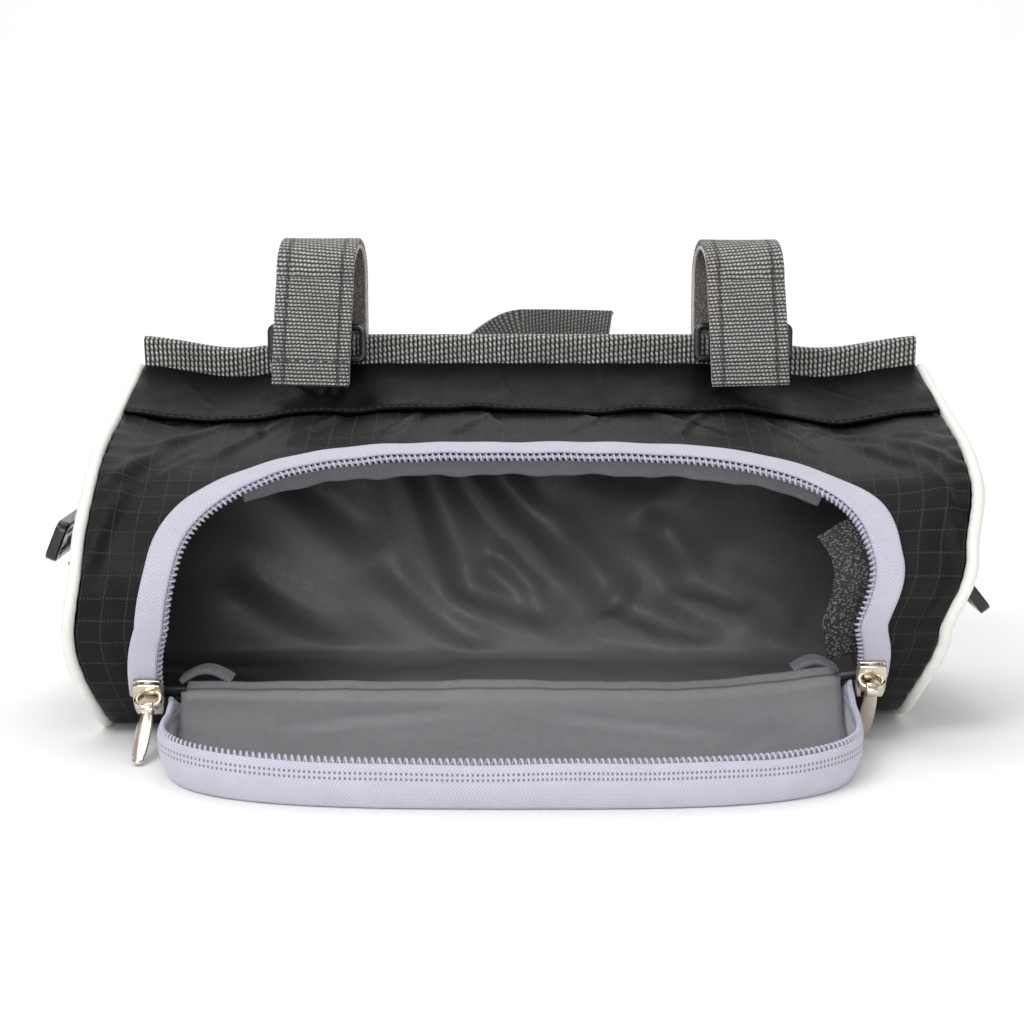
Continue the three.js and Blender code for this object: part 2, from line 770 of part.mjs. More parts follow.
// Webbing tabs and ladder lock on an end panel. side is -1 or 1. wallAt is how far out the
// panel stands at a height, over the width of the webbing.
function buildEndTab(side, name, height, stand) {
  const bulge = side < 0 ? bulgeLeft : bulgeRight;
  const rim = endRim(side);
  const middle = centreOf(rim);
  const wallAt = (z) => {
    let furthest = 0;
    for (const p of rim) {
      const rib = endShares.map((share) => endSpot(side, bulge, middle, p, share));
      rib.slice(1).forEach((low, i) => {
        const t = (z - low.z) / (rib[i].z - low.z);
        const spot = low.clone().lerp(rib[i], THREE.MathUtils.clamp(t, 0, 1));
        const isThere = t >= 0 && t <= 1 && Math.abs(spot.y) <= tabWidth / 2;
        if (isThere) furthest = Math.max(furthest, side * spot.x);
      });
    }
    return furthest + tabClear;
  };
  const across = new THREE.Vector3(0, side, 0);
  const strip = (list) =>
    list.map(([z, off]) => ({ at: new THREE.Vector3(side * (wallAt(z) + off), 0, z), across }));
  const half = lockLength / 2;
  const lower = strip([
    [height - half + tabTuck, stand * 0.8],
    [height - half - tabReachLow / 2, stand * 0.4],
    [height - half - tabReachLow, 0],
  ]);
  const upper = strip([
    [height + half + tabReachHigh, 0],
    [height + half + tabLap, stand * 0.2],
    [height - half + tabLap, stand * 0.42],
  ]);
  place(`tab_lower_${name}`, bandSolid(lower, tabWidth, 0, tabThick), "webbing");
  place(`tab_upper_${name}`, bandSolid(upper, tabWidth, 0, tabThick), "webbing");
  const lean = Math.atan2(wallAt(height + half) - wallAt(height - half) + stand * 0.6, lockLength);
  const reach = wallAt(height) + stand * 0.8 + tabThick + lockThick / 2 + seamGap * 2;
  const lockAt = new THREE.Matrix4()
    .makeTranslation(side * reach, 0, height + 1)
    .multiply(new THREE.Matrix4().makeRotationY(side * lean + rightAngle));
  const length = tabWidth + 2 * lockWall + 1;
  place(`ladder_lock_${name}`, ringSolid(lockLength, length, lockWall, lockThick, lockAt), "plastic");
}

function boxSolid(width, depth, height, x, y, z, matrix) {
  const geometry = new THREE.BoxGeometry(width, depth, height);
  geometry.translate(x, y, z);
  return solidOf(geometry, matrix);
}

function barSolid(radius, length, matrix) {
  const geometry = new THREE.CylinderGeometry(radius, radius, length, 12);
  geometry.rotateZ(rightAngle);
  return solidOf(geometry, matrix);
}

// A slider at a foot of the U line. Its own frame: +Z away from the bag, +Y up the zip.
function sliderFrame(side) {
  const end = side < 0 ? zipLine[0] : zipLine[zipLine.length - 1];
  const s = end.s - sliderUp;
  const base = skin(end.x, s, liftOverFolds + tapeThick + seamGap * 2);
  const out = skin(end.x, s, 10).sub(skin(end.x, s, 0)).normalize();
  const along = new THREE.Vector3(1, 0, 0);
  const up = out.clone().cross(along);
  const frame = new THREE.Matrix4().makeBasis(along, up, out);
  return frame.setPosition(base.addScaledVector(out, sliderThick / 2));
}

function buildSlider(side, name, restAngle) {
  const frame = sliderFrame(side);
  const bridgeZ = sliderThick / 2 + bridgeHeight;
  const cheek = (sliderWidth - pullWidth) / 2 - seamGap * 1.5;
  const postTop = bridgeZ + bridgeRadius;
  const post = (x) => boxSolid(cheek, bridgeRadius * 3, postTop, x, 0, postTop / 2, frame);
  const postX = sliderWidth / 2 - cheek / 2;
  const pivot = new THREE.Vector3(0, 0, bridgeZ).applyMatrix4(frame);
  const atPivot = new THREE.Matrix4().makeTranslation(pivot.x, pivot.y, pivot.z);
  const body = boxSolid(sliderWidth, sliderLength, sliderThick, 0, 0, 0, frame)
    .add(post(-postX))
    .add(post(postX))
    .add(barSolid(bridgeRadius, sliderWidth - cheek, atPivot));
  place(`slider_${name}`, body, "metal");
  const angle = THREE.MathUtils.degToRad(restAngle);
  const swing = atPivot.clone().multiply(new THREE.Matrix4().makeRotationX(angle));
  const eye = pullEyeRadius + 1.1;
  const plate = boxSolid(pullWidth, pullLength, pullThick, 0, -pullLength / 2, 0, swing);
  const pull = plate
    .add(barSolid(eye, pullWidth, swing))
    .subtract(barSolid(pullEyeRadius, pullWidth * 2, swing));
  place(`pull_${name}`, pull, "metal");
  return pivot;
}

// Bound ends of the inner seam, folded over beside the hinge.
function buildSeamTab(side, name, drop) {
  const start = skin(side * (openingHalf - 3), hingeAt - 2, -clothThick - liningGap - liningThick - drop);
  const across = new THREE.Vector3(0, 1, 0);
  const path = steps(0, 1, 4).map((t) => {
    const reach = new THREE.Vector3(-side * seamTabLength * t, seamTabWidth / 2, 0);
    reach.z = seamTabRise * Math.sin(Math.PI * t);
    return { at: start.clone().add(reach), across };
  });
  place(`seam_tab_${name}`, bandSolid(path, seamTabWidth, 0, seamTabThick), "webbing");
}

buildWrap();
buildBand();
buildBack();
buildRimBinding();
buildEnd(-1, "left", bulgeLeft);
buildEnd(1, "right", bulgeRight);
buildPiping(-1, "left");
buildPiping(1, "right");
buildLining();
buildZip();
buildDoor();
buildStrap(strapPlaceLeft, 1, "left");
buildStrap(strapPlaceRight, -1, "right");
buildStemStrap();
buildEndTab(-1, "left", tabBaseLeft, tabStandLeft);
buildEndTab(1, "right", tabBaseRight, tabStandRight);
buildSlider(-1, "left", pullRestLeft);
buildSlider(1, "right", pullRestRight);
buildSeamTab(-1, "left", seamTabDropLeft);
buildSeamTab(1, "right", seamTabDropRight);

export default group;
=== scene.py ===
import bpy
import numpy as np
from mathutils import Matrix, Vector


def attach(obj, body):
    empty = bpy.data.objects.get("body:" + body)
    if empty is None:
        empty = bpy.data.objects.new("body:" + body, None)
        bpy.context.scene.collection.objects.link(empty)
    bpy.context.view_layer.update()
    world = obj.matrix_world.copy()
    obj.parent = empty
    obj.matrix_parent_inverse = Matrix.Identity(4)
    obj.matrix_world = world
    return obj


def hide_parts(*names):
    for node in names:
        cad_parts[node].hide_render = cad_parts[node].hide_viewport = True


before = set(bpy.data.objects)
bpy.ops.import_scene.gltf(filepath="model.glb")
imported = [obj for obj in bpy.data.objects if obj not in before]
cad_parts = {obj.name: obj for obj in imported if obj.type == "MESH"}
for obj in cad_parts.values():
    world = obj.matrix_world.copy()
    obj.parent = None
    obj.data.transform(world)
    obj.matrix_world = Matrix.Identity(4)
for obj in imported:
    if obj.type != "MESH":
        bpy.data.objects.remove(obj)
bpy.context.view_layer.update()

# Handlebar bag. The surfaces are worked out in millimetres and put in as metres.
# X runs along the handlebar, -Y is the door side, the floor is Z = 0.
mm = 0.001
pi = np.pi
halfWidth, bagDepth, bagHeight, backFace = 132.0, 101.0, 104.0, 48.0
rimHeight, clothThick, liningThick, seamGap = 9.6, 1.6, 1.0, 0.3
pipingRadius, pipingProud = 1.9, 1.3
bulge = {-1: 4.0, 1: 14.0}
cornerLift, dipDepth, dipHalf, dipPlaces = 8.0, 4.5, 22.0, (-98.0, 98.0)
openingHalf, openingFlare, openingCorner = 106.0, 6.0, 60.0
doorHalf, doorFlare, doorReach, doorCorner, doorRun = 101.5, 2.0, 67.0, 48.0, 46.0
doorLow, wallHeight, wallLean = 2.0, 11.0, 2.5
strapWidth, strapThick, linerThick = 25.0, 2.0, 1.1
endX = halfWidth - pipingRadius - seamGap * 1.7

wrapRows = [(0.955, 1), (0.8, 0.955), (0.6, 0.9), (0.275, 0.808), (0.1, 0.685), (0, 0.47), (0.025, 0.27),
            (0.09, 0.12), (0.23, 0.015), (0.4, 0), (0.66, 0), (0.92, 0)]
backRows = [(0.92, 0), (0.985, 0.05), (1, 0.2), (1, 0.55), (0.985, 1), (0.975, 1 + rimHeight / bagHeight)]
endHeights = [0, 0.3, 0.55, 0.75, 1.1]
endShares = {-1: [-0.03, 0.015, -0.01, -0.022, -0.02], 1: [-0.115, -0.07, -0.015, 0.015, 0.012]}
# soft dents: across, down, wide, long, lift
foldRows = [(-0.88, 0.3, 0.05, 0.16, -0.016), (-0.72, 0.16, 0.05, 0.1, 0.012),
            (-0.42, 0.14, 0.05, 0.07, -0.01), (-0.12, 0.17, 0.05, 0.05, 0.009),
            (0.18, 0.15, 0.05, 0.06, -0.009), (0.5, 0.17, 0.06, 0.06, 0.01),
            (0.74, 0.2, 0.06, 0.1, -0.014), (0.9, 0.3, 0.05, 0.14, 0.014)]


def smooth(t):
    # a ramp from 0 to 1 with flat ends
    c = np.clip(t, 0, 1)
    return c * c * (3 - 2 * c)


def unit(v):
    # v over its length
    return v / np.maximum(np.linalg.norm(v, axis=-1, keepdims=True), 1e-9)


def roundLine(points, count):
    # centripetal Catmull-Rom curve through the points, then points at even distances along it
    p = np.asarray(points, float)
    p = np.vstack([2 * p[0] - p[1], p, 2 * p[-1] - p[-2]])
    t = np.linspace(0, 1, 80, endpoint=False)[:, None]
    out = []
    for a, b, c, d in zip(p, p[1:], p[2:], p[3:]):
        k0, k1, k2 = (np.linalg.norm(far - near) ** 0.5 for near, far in ((a, b), (b, c), (c, d)))
        m1 = ((b - a) / k0 - (c - a) / (k0 + k1) + (c - b) / k1) * k1
        m2 = ((c - b) / k1 - (d - b) / (k1 + k2) + (d - c) / k2) * k1
        out.append(b + m1 * t + (3 * (c - b) - 2 * m1 - m2) * t ** 2 + (2 * (b - c) + m1 + m2) * t ** 3)
    out.append(p[-2][None])
    return evenly(np.vstack(out), count)


def runOf(points):
    # distance of each point from the first, along the line
    return np.r_[0, np.cumsum(np.linalg.norm(np.diff(points, axis=0), axis=1))]


def evenly(points, count):
    # the same line, with count points at even distances
    d = runOf(points)
    s = np.linspace(0, d[-1], count)
    return np.stack([np.interp(s, d, points[:, k]) for k in range(points.shape[1])], -1)


class Path:
    # a line in the (y, z) plane, looked up by distance, straight beyond its ends
    def __init__(self, points):
        self.d = runOf(points)
        self.p, self.length = points, self.d[-1]
        self.t = unit(np.gradient(points, self.d, axis=0))

    def at(self, s):
        # y, z and the direction at distance s: point + direction * (distance past the end)
        c = np.clip(s, 0, self.length)
        y, z = (np.interp(c, self.d, self.p[:, k]) for k in (0, 1))
        t = unit(np.stack([np.interp(c, self.d, self.t[:, k]) for k in (0, 1)], -1))
        return y + t[..., 0] * (s - c), z + t[..., 1] * (s - c), t[..., 0], t[..., 1]


def rowLine(rows, count):
    # rows of (share of the depth, share of the height) to a Path, never under the floor
    points = roundLine([(backFace - bagDepth * (1 - d), h * bagHeight) for d, h in rows], count)
    points[:, 1] = np.maximum(points[:, 1], 0)
    return Path(points)


wrapPath, backPath = rowLine(wrapRows, 400), rowLine(backRows, 200)


def placeOn(row):
    # distance along the wrap at which it comes nearest to one of its rows
    goal = np.array([backFace - bagDepth * (1 - wrapRows[row][0]), wrapRows[row][1] * bagHeight])
    return wrapPath.d[np.argmin(np.linalg.norm(wrapPath.p - goal, axis=1))]


hemAt, zipAt, hingeAt = placeOn(2), placeOn(3), placeOn(7)
wrapLength, backLength = wrapPath.length, backPath.length


def endShare(x, height):
    # share of the half width that an end seam stands out by, at a height
    h = np.clip(height, 0, endHeights[-1])
    i = np.clip(np.searchsorted(endHeights, h) - 1, 0, 3)
    low, high = np.take(endHeights, i), np.take(endHeights, i + 1)
    t = smooth((h - low) / (high - low))
    shares = (np.take(endShares[k], i) * (1 - t) + np.take(endShares[k], i + 1) * t for k in (-1, 1))
    return np.where(x < 0, *shares)


def cornerRaise(x, y, height):
    # lift of the right front corner: one ramp along x, one down from half height and one towards the front
    ramps = smooth((x / halfWidth - 0.35) / 0.65), 1 - smooth(height / 0.5), smooth(-2 * y / bagDepth)
    return cornerLift * ramps[0] * ramps[1] * ramps[2]


def settle(x, y, z):
    # plain roll to soft bag: ends drawn in or out, two dips of the rim, right corner off the floor
    height = z / bagHeight
    sink = dipDepth * sum(np.exp(-((x - p) / dipHalf) ** 2) for p in dipPlaces) * smooth((height - 0.5) / 0.5)
    return np.stack([x * (1 + endShare(x, height)), y, z - sink + cornerRaise(x, y, height)], -1)


def waves(u, v, size, seed):
    # sum of sines in seeded directions, near -1 to 1, size is the usual wavelength
    r = np.random.default_rng(seed)
    count, total = 9, 0
    for _ in range(count):
        a, f, ph = r.uniform(0, pi), 2 * pi / (size * r.uniform(0.6, 1.6)), r.uniform(0, 2 * pi)
        total = total + np.sin((u * np.cos(a) + v * np.sin(a)) * f + ph)
    return total / count ** 0.5 / 1.3


def creases(u, v, rows):
    # each row is a fold line from (u0, v0) to (u1, v1): lift * fade * (bell of the distance - valley beside)
    total = 0
    for u0, v0, u1, v1, width, lift in rows:
        du, dv = u1 - u0, v1 - v0
        run = np.hypot(du, dv)
        t = ((u - u0) * du + (v - v0) * dv) / run ** 2
        side = ((u - u0) * dv - (v - v0) * du) / run
        fade = smooth((t + 0.15) / 0.35) * smooth((1.15 - t) / 0.35)
        valley = 0.6 * np.exp(-((side - 1.7 * width) / width) ** 2)
        total = total + lift * fade * (np.exp(-(side / width) ** 2) - valley)
    return total


def plainSkin(x, s, lift):
    # wrap surface: x across, s down from the rim, lift outwards, with the soft dents
    y, z, ty, tz = wrapPath.at(s)
    fold = sum(l * bagDepth * np.exp(-((x / halfWidth - a) / w) ** 2 - ((s / wrapLength - d) / g) ** 2)
               for a, d, w, g, l in foldRows)
    return settle(x, y + tz * (lift + fold), z - ty * (lift + fold))


# fold lines on the wrap, mm across and mm down from the rim
wrapCreases = [(-34, 39, -44, 60, 1.6, 0.9), (-14, 40, -2, 62, 1.5, 0.8), (-9, 41, -24, 58, 1.4, 0.7),
               (18, 40, 30, 60, 1.6, 0.9), (26, 41, 12, 58, 1.3, 0.7), (40, 40, 60, 60, 1.8, 1.0),
               (56, 40, 46, 58, 1.5, 0.8), (72, 41, 88, 66, 1.8, 1.0), (-60, 40, -76, 64, 1.8, 1.0),
               (-78, 42, -98, 70, 2.0, 1.2), (-96, 42, -122, 66, 2.0, 1.0), (-108, 52, -128, 88, 2.2, 1.2),
               (-118, 70, -130, 120, 2.4, 1.0), (-100, 60, -116, 80, 1.8, -0.9), (-88, 44, -84, 58, 1.6, 0.8),
               (84, 44, 106, 62, 2.0, 1.1), (96, 46, 126, 60, 2.0, 1.0), (108, 56, 128, 78, 2.2, 1.2),
               (116, 72, 130, 112, 2.4, 1.2), (100, 62, 114, 78, 1.7, -0.8), (92, 42, 84, 56, 1.5, 0.8),
               (-125, 118, -117, 150, 2.2, 0.8), (124, 110, 117, 150, 2.2, 0.8),
               (-128, 40, -112, 46, 1.6, 0.8)]


def wrapSwell(x, s):
    # small unevenness of the cloth: long waves, fold lines, and gathers that fade away from the end seams
    edge = np.exp(-(halfWidth - np.abs(x)) / 7)
    flat = 1 - smooth((s - 165) / 12)
    gather = 0.5 * edge * np.sin(2 * pi * s / 8.5 + 1.5 * np.sin(s / 13) + np.sign(x))
    clear = 1 - smooth(1 - np.abs(s - zipAt) / 5) * smooth((100 - np.abs(x)) / 8) * 0.6
    return (0.45 * waves(x, s, 26, 3) + 0.9 * creases(x, s, wrapCreases) * clear + gather) * flat


def skin(x, s, lift):
    # plain wrap surface plus the unevenness of the cloth
    return plainSkin(x, s, lift + wrapSwell(x, s))


def backSkin(x, s, lift):
    # back surface: point + outward normal * lift, never under the floor
    y, z, ty, tz = backPath.at(s)
    return settle(x, y + tz * lift, np.maximum(z - ty * lift, 0))


def uLine(half, flare, corner, top, bottom, power, count):
    # up the left side, round the top and down the right in (x, s), with outward normals, at even distances
    straight = bottom - top - corner
    s = np.linspace(bottom, top + corner, 40)
    x = half + flare * (s - top - corner) / straight
    a = np.linspace(-pi / 2, pi / 2, 1201)[1:-1]
    ax = np.sign(np.sin(a)) * half * np.abs(np.sin(a)) ** (2 / power)
    arc = np.stack([ax, top + corner * (1 - np.cos(a) ** (2 / power))], -1)
    line = evenly(np.vstack([np.stack([-x, s], -1), arc, np.stack([x, s], -1)[::-1]]), count)
    t = unit(np.gradient(line, axis=0))
    return line[:, 0], line[:, 1], t[:, 1], -t[:, 0]


zipU = uLine(openingHalf, openingFlare, openingCorner, zipAt, hingeAt - 1.2, 3, 420)
doorU = uLine(doorHalf, doorFlare, doorCorner, 0, doorReach - seamGap, 3.2, 380)


# meshes

def addMesh(name, part, covers, look, body="bag"):
    # part is points in mm, faces as rows of 3 or 4, and the uv in mm of each point
    points, faces, uv = part
    mesh = bpy.data.meshes.new(name)
    points = np.array(points, float).reshape(-1, 3)
    if body:
        points[:, 2] = np.maximum(points[:, 2], 0)   # nothing sinks into the floor
    faces = [f for f in (faces if isinstance(faces, list) else [faces]) if len(f)]
    sizes = np.concatenate([np.full(len(f), f.shape[1]) for f in faces])
    loops = np.concatenate([f.ravel() for f in faces])
    mesh.vertices.add(len(points))
    mesh.vertices.foreach_set("co", (points * mm).ravel())
    mesh.loops.add(len(loops))
    mesh.loops.foreach_set("vertex_index", loops.astype(np.int32))
    mesh.polygons.add(len(sizes))
    mesh.polygons.foreach_set("loop_start", np.r_[0, np.cumsum(sizes)[:-1]].astype(np.int32))
    mesh.polygons.foreach_set("loop_total", sizes.astype(np.int32))
    mesh.update(calc_edges=True)
    layer = mesh.uv_layers.new(name="cut")
    layer.data.foreach_set("uv", np.asarray(uv, float).reshape(-1, 2)[loops].ravel())
    mesh.polygons.foreach_set("use_smooth", np.full(len(sizes), True))
    mesh.validate()
    obj = bpy.data.objects.new(name, mesh)
    bpy.context.scene.collection.objects.link(obj)
    obj.data.materials.append(look)
    if body:
        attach(obj, body)
    if covers:
        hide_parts(*covers)
    return obj


def gridFaces(rows, columns, ring=False):
    # four corners of each cell of a grid of points, ring closes every row on itself
    i = np.arange(rows * columns).reshape(rows, columns)
    j = np.concatenate([i, i[:, :1]], 1) if ring else i
    return np.stack([j[:-1, :-1], j[:-1, 1:], j[1:, 1:], j[1:, :-1]], -1).reshape(-1, 4)


def outward(points, faces):
    # faces of a closed part turned outwards: reversed where the volume, a sum of a . (b x c), is negative
    groups = faces if isinstance(faces, list) else [faces]
    volume = 0.0
    for f in groups:
        for k in range(1, f.shape[1] - 1):
            a, b, c = points[f[:, 0]], points[f[:, k]], points[f[:, k + 1]]
            volume += np.sum(a * np.cross(b, c))
    return [f[:, ::-1] if volume < 0 else f for f in groups]


def uvOf(u, v):
    # u and v spread over each other as rows of two
    return np.stack(np.broadcast_arrays(u, v), -1).reshape(-1, 2)


def slab(top, bottom, keep=None):
    # two grids of points joined into a closed wall, keep is a mask of cells; returns points and faces
    rows, columns = top.shape[:2]
    n = rows * columns
    cells = np.ones((rows - 1, columns - 1), bool) if keep is None else keep
    quads = gridFaces(rows, columns)[cells.ravel()]
    both = [quads, quads[:, ::-1] + n]
    # every directed edge with no partner is on the border and gets a wall
    edges = np.concatenate([quads[:, [k, (k + 1) % 4]] for k in range(4)])
    key, back = edges[:, 0] * n + edges[:, 1], edges[:, 1] * n + edges[:, 0]
    rim = edges[~np.isin(key, back)]
    both.append(np.stack([rim[:, 1], rim[:, 0], rim[:, 0] + n, rim[:, 1] + n], -1))
    points = np.concatenate([top.reshape(-1, 3), bottom.reshape(-1, 3)])
    return points, outward(points, np.concatenate(both))[0]


def slabPart(top, bottom, u, v, keep=None):
    # a slab with its uv, which is the same on both faces
    return *slab(top, bottom, keep), np.concatenate([uvOf(u, v)] * 2)


def sheetPiece(name, surface, u, v, thick, covers, look, keep=None, lift=0.0):
    # a cloth of that thickness under surface(u, v, lift), on the grid of u and v
    gu, gv = np.meshgrid(u, v)
    part = slabPart(surface(gu, gv, lift), surface(gu, gv, lift - thick), gu, gv, keep)
    return addMesh(name, part, covers, look)


def sweep(centre, side, up, profile, closed=False):
    # centre + side * profile x + up * profile y, the profile may differ per ring; returns points, faces, uv
    n = len(centre)
    profile = np.broadcast_to(profile, (n,) + np.shape(profile)[-2:])
    m = profile.shape[1]
    points = centre[:, None] + side[:, None] * profile[..., :1] + up[:, None] * profile[..., 1:]
    faces = [gridFaces(n, m, True)]
    if closed:
        last = (n - 1) * m + np.arange(m)
        faces.append(np.stack([last, np.roll(last, -1), np.roll(np.arange(m), -1), np.arange(m)], -1))
    uv = uvOf(runOf(centre)[:, None], runOf(profile[n // 2])[None])
    points = points.reshape(-1, 3)
    if not closed:
        for k, ends in ((0, np.arange(m)), (n - 1, (n - 1) * m + np.arange(m))):
            points = np.vstack([points, points[ends].mean(0)])
            uv = np.vstack([uv, uv[ends].mean(0)])
            hub = np.full(m, len(points) - 1)
            pair = (ends, np.roll(ends, -1)) if k == 0 else (np.roll(ends, -1), ends)
            faces.append(np.stack([hub, pair[1], pair[0]], -1))
    return points, outward(points, faces), uv


def joinParts(parts):
    # several (points, faces, uv) as one
    points, faces, uvs, start = [], [], [], 0
    for p, f, uv in parts:
        points.append(p)
        uvs.append(uv)
        faces += [g + start for g in (f if isinstance(f, list) else [f])]
        start += len(p)
    return np.concatenate(points), faces, np.concatenate(uvs)


def circle(count, width=1.0, height=1.0):
    # points round an ellipse: width * cos, height * sin
    a = np.linspace(0, 2 * pi, count, endpoint=False)
    return np.stack([width * np.cos(a), height * np.sin(a)], -1)


def roundedBox(width, height, radius, steps=4):
    # rounded rectangle profile, anticlockwise, centred on 0
    a = np.concatenate([np.linspace(k * pi / 2, (k + 1) * pi / 2, steps + 1) for k in range(4)])
    corner = np.repeat([(1, 1), (-1, 1), (-1, -1), (1, -1)], steps + 1, axis=0)
    r = min(radius, width / 2, height / 2)
    return corner * [width / 2 - r, height / 2 - r] + r * np.stack([np.cos(a), np.sin(a)], -1)


def frames(line, hint, closed=False):
    # side and up directions along a line, side nearest to hint
    t = (np.roll(line, -1, 0) - np.roll(line, 1, 0)) if closed else np.gradient(line, axis=0)
    t = unit(t)
    hint = np.broadcast_to(np.asarray(hint, float), line.shape)
    side = unit(hint - t * np.sum(hint * t, -1, keepdims=True))
    return t, side, np.cross(t, side)


def beads(places, along, up, size, rings=5, around=8):
    # ellipsoids at places: length * cos a, width * sin a * cos b, height * sin a * sin b, halved
    a = np.linspace(0, pi, rings + 1)[1:-1]
    b = np.linspace(0, 2 * pi, around, endpoint=False)
    ball = np.stack([np.repeat(np.cos(a), around), np.outer(np.sin(a), np.cos(b)).ravel(),
                     np.outer(np.sin(a), np.sin(b)).ravel()], -1)
    ball = np.vstack([ball, [[1, 0, 0], [-1, 0, 0]]]) * np.array(size) / 2
    side = np.cross(up, along)
    points = (places[:, None] + along[:, None] * ball[None, :, :1] + side[:, None] * ball[None, :, 1:2]
              + up[:, None] * ball[None, :, 2:])
    m = len(ball)
    quads = gridFaces(rings - 1, around, True)
    top = np.stack([np.full(around, m - 2), np.arange(around), np.roll(np.arange(around), -1)], -1)
    low = (rings - 2) * around + np.arange(around)
    bottom = np.stack([np.full(around, m - 1), np.roll(low, -1), low], -1)
    offsets = (np.arange(len(places)) * m)[:, None, None]
    quads = (quads[None, :, ::-1] + offsets).reshape(-1, 4)
    tris = (np.concatenate([top, bottom])[None, :, ::-1] + offsets).reshape(-1, 3)
    uv = np.repeat(np.stack([np.arange(len(places)) * 1.0, np.zeros(len(places))], -1), m, axis=0)
    points = points.reshape(-1, 3)
    return points, outward(points, [quads, tris]), uv


def lengthOf(p):
    # sum of the distances between neighbours
    return np.linalg.norm(np.diff(p, axis=0), axis=1).sum()


def coil(centre, side, up, reach, rise, wire, pitch=1.75, steps=12, sides=6):
    # a flattened helix round a line: side * reach * cos + up * rise * sin, as a thin round wire
    turns = lengthOf(centre) / pitch
    n = int(turns * steps) + 1
    f = np.linspace(0, len(centre) - 1, n)
    k = np.arange(len(centre))
    pick = lambda a: np.stack([np.interp(f, k, a[:, c]) for c in range(3)], -1)
    a = np.linspace(0, 2 * pi * turns, n)[:, None]
    s, u = unit(pick(side)), unit(pick(up))
    line = pick(centre) + s * reach * np.cos(a) + u * rise * np.sin(a)
    _, one, two = frames(line, u * np.sin(a) * reach + s * np.cos(a) * rise)
    return sweep(line, one, two, wire * circle(sides))


# materials

def newLook(name, color, rough, **more):
    # a Principled material; more holds other sockets by name with _ for a space
    mat = bpy.data.materials.new(name)
    mat.use_nodes = True
    shader = mat.node_tree.nodes["Principled BSDF"]
    shader.inputs["Base Color"].default_value = (*color, 1)
    shader.inputs["Roughness"].default_value = rough
    for key, value in more.items():
        shader.inputs[key.replace("_", " ")].default_value = value
    return mat


def put(socket, value):
    # links a socket into this one, or sets its value
    if hasattr(value, "links"):
        socket.id_data.links.new(value, socket)
    else:
        socket.default_value = value


def calc(kind, a, b=None, c=None):
    # a math node of a socket and up to two more values, beside that socket
    n = a.id_data.nodes.new("ShaderNodeMath")
    n.operation = kind
    for socket, value in zip(n.inputs, (a, b, c)):
        if value is not None:
            put(socket, value)
    return n.outputs[0]


def times(a, b):
    # a * b
    return calc("MULTIPLY", a, b)


def scaled(a, b, c):
    # a * b + c
    return calc("MULTIPLY_ADD", a, b, c)


def plus(a, b):
    # a + b
    return calc("ADD", a, b)


def minus(a, b):
    # a - b
    return calc("SUBTRACT", a, b)


def absolute(a):
    # a without its sign
    return calc("ABSOLUTE", a)


def darker(color, share):
    # every channel * share
    return tuple(share * c for c in color)


def apart(vector):
    # x, y and z of a vector
    sep = vector.id_data.nodes.new("ShaderNodeSeparateXYZ")
    put(sep.inputs[0], vector)
    return sep.outputs


def cutCoords(mat):
    # the piece's flat cut in millimetres: along, across, and both as a vector
    uv = mat.node_tree.nodes.new("ShaderNodeUVMap")
    uv.uv_map = "cut"
    x, y, _ = apart(uv.outputs[0])
    return x, y, uv.outputs[0]


def noise(vector, scale, detail=3.0, rough=0.55):
    # cloudy noise near 0.5, one cloud is about 1 / scale wide
    n = vector.id_data.nodes.new("ShaderNodeTexNoise")
    for key, value in (("Scale", scale), ("Detail", detail), ("Roughness", rough), ("Vector", vector)):
        put(n.inputs[key], value)
    return n.outputs["Fac"]


def ramp(value, fromLow, fromHigh, toLow=0.0, toHigh=1.0):
    # toLow to toHigh with flat ends as value goes from fromLow to fromHigh
    n = value.id_data.nodes.new("ShaderNodeMapRange")
    n.interpolation_type = "SMOOTHSTEP"
    for key, v in (("Value", value), ("From Min", fromLow), ("From Max", fromHigh), ("To Min", toLow),
                   ("To Max", toHigh)):
        put(n.inputs[key], v)
    return n.outputs["Result"]


def lineAt(coord, pitch, half):
    # 1 on lines every pitch, falling to 0 at half a line's width
    return ramp(calc("PINGPONG", coord, pitch / 2), half, 0.0)


def sine(coord, pitch):
    # wave from 0 to 1: 0.5 + 0.5 * sin(2 pi coord / pitch)
    return scaled(calc("SINE", times(coord, 2 * pi / pitch)), 0.5, 0.5)


def blendColor(factor, low, high):
    # low * (1 - factor) + high * factor
    n = factor.id_data.nodes.new("ShaderNodeMix")
    n.data_type = "RGBA"
    put(n.inputs[0], factor)
    for socket, value in ((n.inputs[6], low), (n.inputs[7], high)):
        put(socket, value if hasattr(value, "links") else (*value, 1))
    return n.outputs[2]


def dress(mat, color, rough, height, strength, depth):
    # links the colour, the roughness and a bump of the height, depth in mm; returns the material
    shader = mat.node_tree.nodes["Principled BSDF"]
    n = mat.node_tree.nodes.new("ShaderNodeBump")
    for key, value in (("Strength", strength), ("Distance", depth * mm), ("Height", height)):
        put(n.inputs[key], value)
    for key, value in (("Base Color", color), ("Roughness", rough), ("Normal", n.outputs[0])):
        put(shader.inputs[key], value)
    return mat


